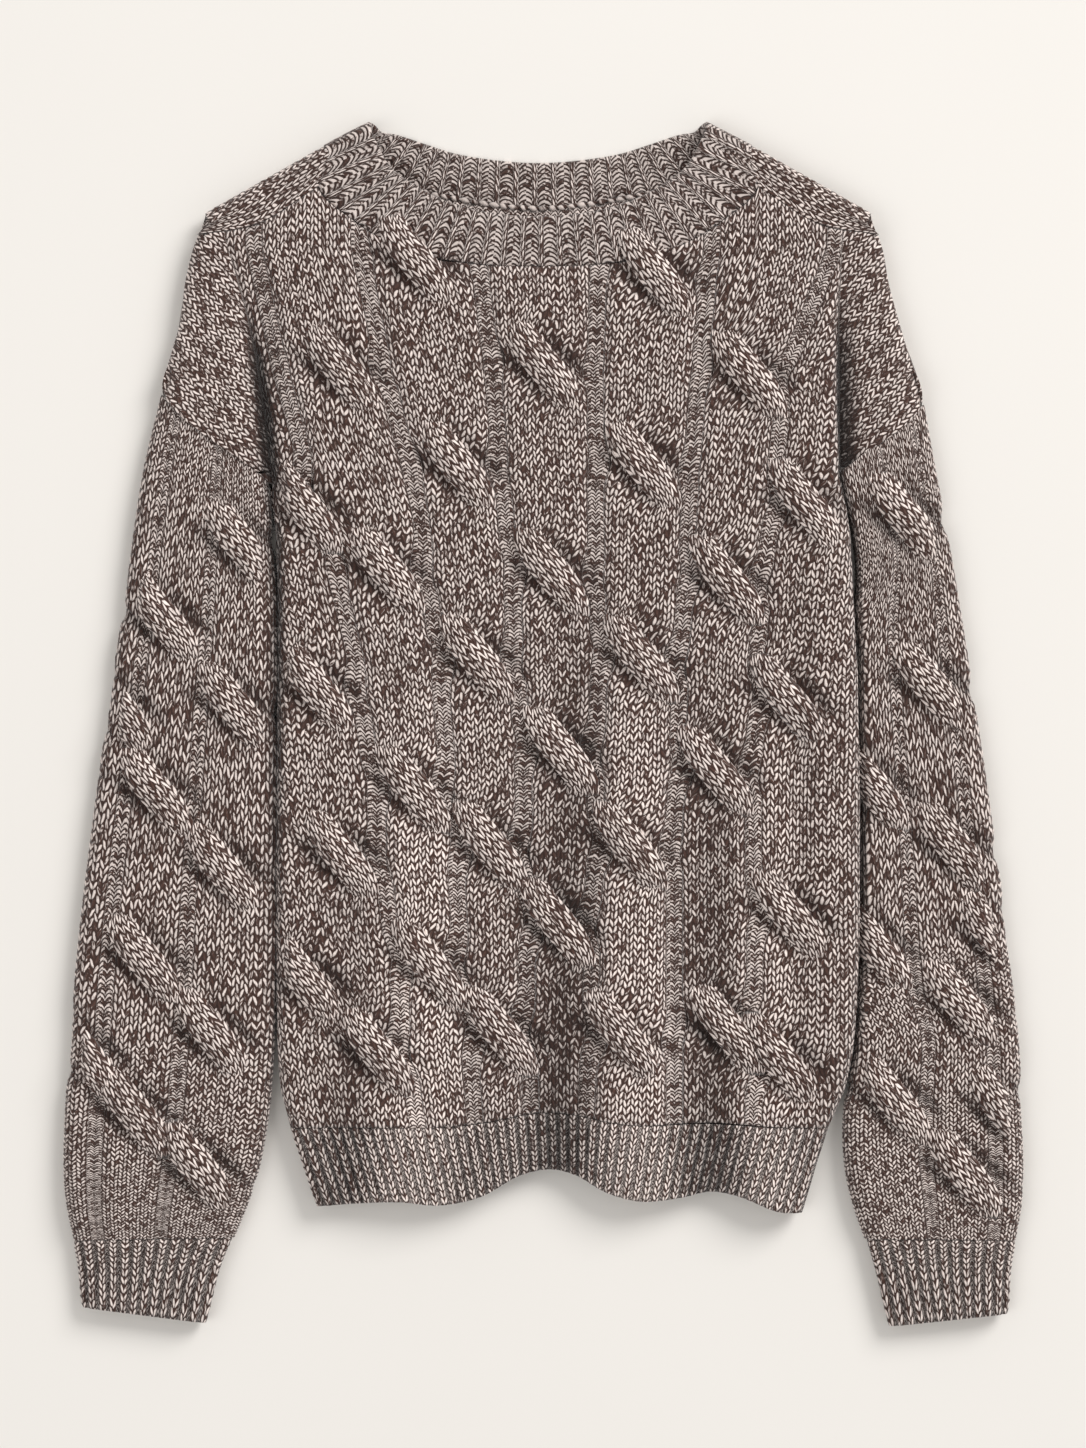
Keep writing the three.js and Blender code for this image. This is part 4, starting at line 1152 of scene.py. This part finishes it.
def band_ring():
    columns = np.arange(BAND_RIBS * BAND_COLUMNS + 1)
    seam, edge = neck_lines(columns / (BAND_RIBS * BAND_COLUMNS))
    up = np.linspace(0, 1, BAND_ROWS + 1)[:, None, None]
    middle = mix(seam[None], edge[None], up)
    normals = surface_normals(middle[:, ::-1], True)[:, ::-1]
    wale = band_wale(columns)[None, :]
    purl = (np.mod(wale, 2) < 1).astype(float)
    course = up[..., 0] * BAND_COURSES + 0 * wale
    relief = BAND_RIB * (1 - purl) + stitch_height(wale, course, purl)
    rims = np.minimum(1, 0.5 + 3 * np.minimum(up[..., 0], 1 - up[..., 0]))
    faces = []
    for way in (1, -1):
        shown = np.maximum(0, normals[..., 2] * way)
        faces.append(middle + way * normals * (WALL / 2 + relief * shown * rims)[..., None])
    outward = (edge - seam) / np.linalg.norm(edge - seam, axis=-1, keepdims=True)
    free = (edge + RIM_ROUND * outward)[None]
    linked = (seam - 0.2 * outward)[None]
    points = np.concatenate([linked, faces[0], free, faces[1][::-1], linked])
    knit = np.concatenate([course[:1], course, course[-1:], course[::-1], course[:1]])
    purl = np.concatenate([purl + 0 * course[:1]] * len(points))
    return layer(points, np.stack([wale + 0 * knit, knit], axis=-1), purl, BAND_PAINTED_SHADE * purl)


neckband = shell("neckband_ribs", band_ring())
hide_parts("neckband")
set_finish(neckband, "rib_knit")

# %% [markdown]
# ## The chain where the band is linked
# Inside the neck the linking shows as a chain of loops along the band's lower edge. It's a round cord
# that swells once for each loop, and it follows the seam round the back only, where it can be seen.

# %% Chain of the neck seam
CHAIN_LOOPS = 34
CHAIN_FINE = 10
CHAIN_RADIUS = 1.9
CHAIN_OUT = 0.6            # mm that it lies outside the seam line
CHAIN_SHARES = (0.34, 0.66)    # of the way round the neck, from the middle of the front
CHAIN_PLACE = (700.3, 0.5)     # wale and course where its part of the pattern starts
# painted shade over the whole chain, which lies in the shade of the band
CHAIN_PAINTED_SHADE = 0.35


def chain_cord():
    along = np.linspace(0, 1, CHAIN_LOOPS * CHAIN_FINE + 1)
    seam, edge = neck_lines(mix(*CHAIN_SHARES, along))
    outward = unit((seam - edge) * (1, 1, 0))
    swell = CHAIN_RADIUS * (0.45 + 0.55 * np.abs(np.sin(np.pi * CHAIN_LOOPS * along)))
    swell = swell * np.sqrt(np.clip(np.minimum(along, 1 - along) / 0.01, 0.0, 1))
    turn = np.linspace(0, 2 * np.pi, 13)[:, None, None]
    middle = seam + outward * CHAIN_OUT + np.array([0, 0, WALL / 2])
    points = middle + (np.cos(turn) * outward - np.sin(turn) * np.array([0, 0, 1.0])) * swell[:, None]
    wale, course = np.broadcast_arrays(turn[..., 0] / (4 * np.pi) + CHAIN_PLACE[0],
                                       CHAIN_LOOPS * along + CHAIN_PLACE[1])
    return layer(points, np.stack([wale, course], axis=-1), 0.0, CHAIN_PAINTED_SHADE)


chain = shell("neck_seam_chain", chain_cord())
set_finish(chain, "rib_knit")

# %% [markdown]
# ## The back
# The back lies under the front with its outside on the table. Its edges turn up to meet the front, and
# over the shoulders it comes forward to a seam that lies in front of the fold. That strap shows
# from above, with its stitches along the slope, so it is knitted here as a piece of its own. A patch
# between four known edges gives the rest.

# %% Edges of the back
BACK_COLUMNS = 150
BACK_ROWS = 150
SHOULDER_FOLD = [FOLD_TIP, NECK_FOLD["seam"]]


def mirrored(points):
    return [(2 * NECK_CENTRE - x, y) for x, y in points]


BACK_EDGES = FOLDED_EDGES + [SHOULDER_FOLD, mirrored(SHOULDER_FOLD)]


def back_middle(x, y):
    """Height of the middle of the back's wall."""
    share = full_height(np.min([line_distance(x, y, rows) for rows in BACK_EDGES], axis=0))
    return MIDDLE + tuck_lift(x, y) - np.maximum(BEND * share, (WALL + SEAM_GAP) / 2)


def edge_table(*stretches):
    """A panel's edge from stretches of points, each with its share, to be read anywhere along it."""
    shares, places, done = [], [], 0.0
    for share, points in stretches:
        shares.append(np.linspace(done, done + share, len(points)))
        places.append(points)
        done += share
    return np.concatenate(shares) / done, np.concatenate(places)


def read_edge(table, share):
    return np.stack([np.interp(share, table[0], table[1][:, k]) for k in (0, 1)], axis=-1)


def patch(left, right, bottom, top, s, t):
    """Points inside four edges, worked out from them alone."""
    s1, t1 = s[..., None], t[..., None]
    corners = [read_edge(edge, np.array(end)) for edge in (bottom, top) for end in (0, 1)]
    across = mix(read_edge(left, t), read_edge(right, t), s1)
    upwards = mix(read_edge(bottom, s), read_edge(top, s), t1)
    return across + upwards - mix(mix(corners[0], corners[1], s1), mix(corners[2], corners[3], s1), t1)


def back_edges():
    share = np.linspace(0, 1, 60)
    sides = {}
    for side in ("left", "right"):
        tip = FOLD_TIP if side == "left" else mirrored([FOLD_TIP])[0]
        armhole = np.array([SIDE[side][-1], DROP[side][0]], float)
        over_shoulder = np.array([DROP[side][-1], tip], float)
        sides[side] = edge_table((12, evenly(SIDE[side], share)), (2, evenly(armhole, share)),
                                 (4, evenly(DROP[side], share)), (1, over_shoulder))
    seam, edge = neck_lines(np.linspace(0, 1, 721))
    neck = seam + NECK_GAP * unit((seam - edge) * (1, 1, 0))
    lower = neck[neck[:, 2] < MIDDLE - 1][:, :2]
    lower = lower[np.argsort(lower[:, 0])]
    fold = evenly(SHOULDER_FOLD, share)
    top = edge_table((5, fold[:-3]), (22, lower), (5, np.array(mirrored(fold[:-3]))[::-1]))
    hem_x = mix(SIDE["left"][0][0], SIDE["right"][0][0], share)
    hem_y = mix(HEM_TOP, hem_top(hem_x), np.sqrt(np.sin(np.pi * share))) + ROW_GAP / 2
    return sides["left"], sides["right"], edge_table((1, np.stack([hem_x, hem_y], axis=-1))), top


back_low = float(back_middle(np.array(0.0), np.array(0.0))) - WALL / 2
print("the back's outside is", round(back_low, 1), "mm above the table")

# %% [markdown]
# ## The back panel and its hem
# The side that shows lies on the table and the inside is only seen through the neck, so neither needs
# each stitch as faces. The shader still draws them.

# %% Back panel
def back_layers():
    faces = []
    edges = back_edges()
    for way, columns, rows in ((-1, BACK_COLUMNS, BACK_ROWS),
                               (1, BACK_COLUMNS // 3, BACK_ROWS // 3)):
        s, t = np.meshgrid(np.linspace(0, 1, columns + 1), np.linspace(0, 1, rows + 1))
        plan = patch(*edges, s, t)
        z = back_middle(plan[..., 0], plan[..., 1]) + way * WALL / 2
        points = np.concatenate([plan, z[..., None]], axis=-1)
        knit = np.stack([-plan[..., 0] * way / WALE, plan[..., 1] / COURSE], axis=-1)
        faces.append(layer(points, knit, 0.0 if way < 0 else 1.0))
    return faces


back = shell("back_panel_knit", *back_layers())
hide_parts("back_panel")
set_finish(back, "cable_knit")

# %% Back hem
def back_hem_layers():
    faces = []
    for way, per_rib in ((-1, 4), (1, 1)):
        wale, course = np.meshgrid(np.linspace(0, HEM_RIBS * RIB_WALES, HEM_RIBS * per_rib + 1),
                                   np.linspace(0, HEM_COURSES, HEM_COURSES + 1))
        x, y = hem_plan(wale, course, HEM_RIBS, BACK_HEM_SHORT)
        z = back_middle(x, y) + way * WALL / 2
        purl = rib_purl(wale)
        knit = np.stack([-wale * way, course], axis=-1)
        # The purl wales also get painted shade, by the same amount as their purl value.
        faces.append(layer(np.stack([x, y, z], axis=-1), knit, purl, purl))
    return faces


back_hem = shell("back_hem_ribs", *back_hem_layers())
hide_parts("back_hem_rib")
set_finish(back_hem, "rib_knit")

# %% [markdown]
# ## The shoulder straps
# On most sweaters the shoulder seam sits on the fold. Here it lies in front of it, so a strip of the
# back turns over the fold and shows from above. Its wales lie along the slope of the shoulder, across
# those of the front. The left strap is laid out and the right one is its mirror image.

# %% Shoulder straps
STRAP_WALES = 6
STRAP_COURSES = 18
STRAP_TURN = 0.42          # share of the strap that goes round the fold


def strap_place(wale, course):
    """The left strap: wales lie along the slope, from the fold forward to the seam."""
    down = wale / STRAP_WALES
    in_ = course / STRAP_COURSES
    way, out = fold_ways()
    fold = mix(np.array(FOLD_TIP, float), np.array(NECK_FOLD["seam"]), in_[..., None])
    seam = evenly(np.array(SHOULDER_SEAM, float), in_) + (0, SEAM_GAP)
    gap_in = NECK_GAP * smooth(in_, 0.9, 1.0)
    fold = fold + way * gap_in[..., None]
    turn = np.clip(down / STRAP_TURN, 0, 1)
    angle = math.pi / 2 * (1 + turn)
    crown = fold - out * BEND
    flat = np.clip((down - STRAP_TURN) / (1 - STRAP_TURN), 0, 1)[..., None]
    round_fold = fold + out * (BEND * (np.sin(angle) - 1))[..., None]
    plan = np.where(flat > 0, mix(crown, seam, flat), round_fold)
    radius = BEND + WALL / 2
    z = MIDDLE + (WALL + SEAM_GAP) / 2 * (1 - turn) - radius * np.cos(angle)
    return np.concatenate([plan, z[..., None]], axis=-1)


def no_purl(wale):
    return np.zeros_like(wale)


def no_swell(wale, x, y):
    return np.zeros_like(wale)


strap_outer, strap_inner = knit_layers(STRAP_WALES, STRAP_COURSES, strap_place, no_purl, no_swell,
                                       plain=(6, 6))
for side in ("left", "right"):
    faces = []
    for face in (strap_outer, strap_inner):
        points = face["points"].copy()
        if side == "right":
            points[..., 0] = 2 * NECK_CENTRE - points[..., 0]
        faces.append(layer(points, face["knit"], face["purl"]))
    strap = shell(f"{side}_shoulder_strap", *faces)
    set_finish(strap, "cable_knit")

# %% [markdown]
# ## Cut sizes
# Each piece is a sheet of knitting of a known size before it is laid.

# %% [markdown]
# ## Shader maths
# A pattern that follows the knitting is arithmetic on the wale and course of each point. Written as
# Python expressions it stays readable, so one small class wraps a socket and lets the usual operators
# add the Math nodes. A second class holds one material, adds its other nodes and sets its shader.

# %% Numbers over a surface
class Number:
    """A number that changes over a surface. Arithmetic on it adds Math nodes."""

    def __init__(self, finish, socket):
        self.finish = finish
        self.socket = socket

    def maths(self, operation, *values):
        return self.finish.node("ShaderNodeMath", {"operation": operation}, dict(enumerate(values)))

    def __add__(self, other):
        return self.maths("ADD", self, other)

    __radd__ = __add__

    def __sub__(self, other):
        return self.maths("SUBTRACT", self, other)

    def __rsub__(self, other):
        return self.maths("SUBTRACT", other, self)

    def __mul__(self, other):
        return self.maths("MULTIPLY", self, other)

    __rmul__ = __mul__

    def floor(self):
        return self.maths("FLOOR", self)

    def fraction(self):
        return self.maths("FRACT", self)

    def size(self):
        return self.maths("ABSOLUTE", self)

    def step(self, low, high):
        """0 below low, 1 above high and smooth between."""
        settings = {"interpolation_type": "SMOOTHSTEP"}
        return self.finish.node("ShaderNodeMapRange", settings, {0: self, 1: low, 2: high})


class Finish:
    """One material and the nodes that are added to it."""

    def __init__(self, name):
        self.material = bpy.data.materials.new(name)
        self.material.use_nodes = True
        self.tree = self.material.node_tree
        self.shader = self.tree.nodes["Principled BSDF"]

    def node(self, kind, settings=None, inputs=None, output=0):
        node = self.tree.nodes.new(kind)
        for name, value in (settings or {}).items():
            setattr(node, name, value)
        for name, value in (inputs or {}).items():
            self.feed(node.inputs[name], value)
        return Number(self, node.outputs[output])

    def feed(self, socket, value):
        if isinstance(value, Number):
            self.tree.links.new(value.socket, socket)
        else:
            socket.default_value = value

    def shade(self, **inputs):
        for name, value in inputs.items():
            self.feed(self.shader.inputs[name.replace("_", " ")], value)


# %% [markdown]
# ## The marl yarn
# Two plies of different colour are twisted, so a stitch shows mostly the one or the other: off-white
# grains as long as a leg on a dark brown ground. Each leg of each stitch is a cell with a number of
# its own, and the twist goes on by a steady share of a turn from leg to leg. Both together pick the ply,
# long streaks let the other one through, noise frays the leg's edge, and the middle of the leg stands
# up in the bump. In purl the cells are flat arches, two to a course.

# %% Marl
LIGHT_PLY = (0.92, 0.8, 0.745, 1)
DARK_PLY = (0.092, 0.046, 0.035, 1)
PURL_ARCH = 1.0            # courses by which an arch of purl bends
LEG_DRIFT = 1.0            # courses by which one column of legs may stand higher than the next
LEG_LEAN = math.radians(72)
LEG_WIDE = 0.78            # mm, half of a leg's width
LEG_LONG = 2.6             # mm, half of its length
WANDER = (0.22, 0.5)       # wales and courses by which stitches stray from their rows
PURL_APART = 300.5         # keeps the numbers of purl columns away from those of the legs
TWIST = (0.382, 0.618)     # turns of the yarn from one leg to the next, across and up
OWN_SHARE = 0.45           # how much a leg's own number counts in its ply
TURN_SHARE = 0.45          # and how much the twist does
PLY_SOFT = 0.16            # either side of dark_share, where one ply passes into the other
STREAKS = 1.5              # how strongly streaks along a leg break up its ply
FRAY = 1.1                 # how far noise frays a leg's edge
PAINTED_SHADE_DARKENING = 0.55           # share of the colour that a painted shade of 1 takes away
PAINTED_SHADE_DARK_PLY = 0.2             # and how much more often the dark ply shows under painted shade


def marl(name, seed, dark_share):
    """Wool in which a ply is dark where its number is below dark_share."""
    wool = Finish(name)
    place = wool.node("ShaderNodeUVMap", {"uv_map": "Knit"})
    stray = wool.node("ShaderNodeTexNoise", {"noise_dimensions": "3D"},
                      {"Vector": place, "Scale": 0.8, "Detail": 1.0}, "Color")
    wale, course = (wool.node("ShaderNodeSeparateXYZ", None, {0: place}, axis)
                    + (wool.node("ShaderNodeSeparateXYZ", None, {0: stray}, axis) - 0.5) * WANDER[axis]
                    for axis in (0, 1))
    purl = wool.node("ShaderNodeAttribute", {"attribute_name": "purl"}, None, "Fac").step(0.4, 0.6)
    # Painted shade of each point: above 0 it darkens the yarn and shows more dark ply, below 0 it is
    # painted light.
    painted_shade = wool.node("ShaderNodeAttribute", {"attribute_name": "painted_shade"}, None, "Fac")

    def either(knit_value, purl_value):
        return knit_value + (purl_value - knit_value) * purl

    def at(x, y, depth):
        return wool.node("ShaderNodeCombineXYZ", None, {0: x, 1: y, 2: depth})

    def chance(where):
        return wool.node("ShaderNodeTexWhiteNoise", {"noise_dimensions": "3D"}, {"Vector": where},
                         "Value")

    def noise(where, detail):
        return wool.node("ShaderNodeTexNoise", {"noise_dimensions": "3D"},
                         {"Vector": where, "Scale": 1.0, "Detail": detail}, "Fac")

    across = (wale.fraction() - 0.5).size()
    column = either(wale * 2, wale + PURL_APART)
    drift = chance(at(column.floor(), seed, 0.5)) * LEG_DRIFT
    row = either(course, 2 * course - PURL_ARCH * (1 - 4 * across * across)) + drift
    own = chance(at(column.floor(), row.floor(), seed))
    bent = chance(at(column.floor(), row.floor(), seed + 20))
    turn = (column.floor() * TWIST[0] + row.floor() * TWIST[1] + own * 0.25).fraction()

    inward = (1 - 4 * across) * (WALE / 4)
    up = (row.fraction() - 0.5) * COURSE
    lean = bent * 0.4 + (math.cos(LEG_LEAN) / LEG_WIDE - 0.2)
    aside = inward * (math.sin(LEG_LEAN) / LEG_WIDE) + up * lean
    along = inward * (math.cos(LEG_LEAN) / LEG_LONG) - up * (math.sin(LEG_LEAN) / LEG_LONG)
    knit_leg = 1 - (aside * aside + along * along)
    purl_leg = (0.75 - (2 * row.fraction() - 1).size()) * 2.4 - 2.5 * across * across
    fray = noise(at(column * 2.2, row * 2.2, seed + 6), 2.0) - 0.5
    leg = (either(knit_leg, purl_leg) + fray * FRAY).step(-0.35, 0.85)

    streak = noise(at(aside * 0.9 + bent * 40, along * 0.8, seed + 9), 1.0)
    ply = own * OWN_SHARE + turn * TURN_SHARE + (streak - 0.5) * STREAKS - PAINTED_SHADE_DARK_PLY * painted_shade
    light = ply.step(dark_share - PLY_SOFT, dark_share + PLY_SOFT) * leg.step(0.1, 0.75)
    fibre = noise(at(column * 3.0, row * 9.0, seed + 3), 2.0)
    # The yarn's own tone varies with the fibre noise and from leg to leg. Towards the edges of each leg
    # it is darker as painted shade between the legs, and the painted shade of the point darkens it
    # further.
    shade = (fibre * 0.5 + 0.6 + 0.25 * bent) * (leg * 0.4 + 0.6) * (1 - PAINTED_SHADE_DARKENING * painted_shade)
    grey = wool.node("ShaderNodeCombineColor", None, {0: shade, 1: shade, 2: shade})
    yarn = wool.node("ShaderNodeMix", {"data_type": "RGBA"}, {0: light, 6: DARK_PLY, 7: LIGHT_PLY}, 2)
    colour = wool.node("ShaderNodeMix", {"data_type": "RGBA", "blend_type": "MULTIPLY"},
                       {0: 1.0, 6: yarn, 7: grey}, 2)
    bump = wool.node("ShaderNodeBump", None,
                     {"Strength": 0.7, "Distance": 0.0014, "Height": leg + fibre * 0.25})
    wool.shade(Base_Color=colour, Roughness=0.92, Normal=bump, Sheen_Weight=0.3, Sheen_Roughness=0.5,
               Specular_IOR_Level=0.2)
    return wool.material


BODY_WOOL = marl("marl_cable_knit", 1.0, 0.34)
RIB_WOOL = marl("marl_rib_knit", 5.0, 0.22)
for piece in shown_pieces():
    if "Knit" in getattr(piece.data, "uv_layers", {}):
        ribbed = piece.get("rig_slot") == "rib_knit"
        piece.data.materials.clear()
        piece.data.materials.append(RIB_WOOL if ribbed else BODY_WOOL)
        print(piece.name, "in", piece.data.materials[0].name)

# %% [markdown]
# ## Floor, light and camera
# The sweater lies on a plain pale table and is seen from straight above. A large soft light stands to
# the upper right, so the folds shade towards the lower left, and a weaker one fills from the left.

# %% Stage
TABLE_SIZE = 6.0
PHOTO_HEIGHT = 0.8833      # metres of the table from the lower to the upper edge of the picture
CAMERA_AWAY = 3.0
SHARP_AT = 0.012           # height at which that scale holds
WORLD_LIGHT = 0.52


def table_top():
    bm = bmesh.new()
    bmesh.ops.create_grid(bm, x_segments=1, y_segments=1, size=TABLE_SIZE / 2)
    mesh = bpy.data.meshes.new("table_top")
    bm.to_mesh(mesh)
    bm.free()
    paper = Finish("pale_table")
    where = paper.node("ShaderNodeTexCoord", None, None, "Object")
    speck = paper.node("ShaderNodeTexNoise", None, {"Vector": where, "Scale": 3.0}, "Fac")
    tint = paper.node("ShaderNodeMix", {"data_type": "RGBA"},
                      {0: speck, 6: (0.86, 0.83, 0.79, 1), 7: (0.88, 0.85, 0.81, 1)}, 2)
    paper.shade(Base_Color=tint, Roughness=0.8)
    mesh.materials.append(paper.material)
    table = bpy.data.objects.new("table_top", mesh)
    bpy.context.scene.collection.objects.link(table)


def soft_light(name, place, size, power, colour):
    lamp = bpy.data.lights.new(name, "AREA")
    lamp.shape = "DISK"
    lamp.size = size
    lamp.energy = power
    lamp.color = colour
    light = bpy.data.objects.new(name, lamp)
    light.location = place
    light.rotation_mode = "QUATERNION"
    light.rotation_quaternion = (-light.location).to_track_quat("-Z", "Y")
    bpy.context.scene.collection.objects.link(light)


table_top()
soft_light("key", (4.0, 4.0, 4.2), 3.8, 345, (1.0, 0.99, 0.975))
soft_light("fill", (-3.6, -1.4, 5.2), 4.8, 80, (1.0, 0.995, 0.985))

world = bpy.data.worlds.new("studio")
bpy.context.scene.world = world
world.use_nodes = True
background = world.node_tree.nodes["Background"]
background.inputs["Color"].default_value = (1.0, 0.99, 0.975, 1)
background.inputs["Strength"].default_value = WORLD_LIGHT

lens = bpy.data.cameras.new("above")
lens.sensor_width = 36
lens.lens = lens.sensor_width * (CAMERA_AWAY - SHARP_AT) / PHOTO_HEIGHT
lens.clip_end = 100
camera = bpy.data.objects.new("above", lens)
camera.location = (0, 0, CAMERA_AWAY)
bpy.context.scene.collection.objects.link(camera)
bpy.context.scene.camera = camera
bpy.context.scene.view_settings.view_transform = "Standard"
print("lens", round(lens.lens, 1), "mm")
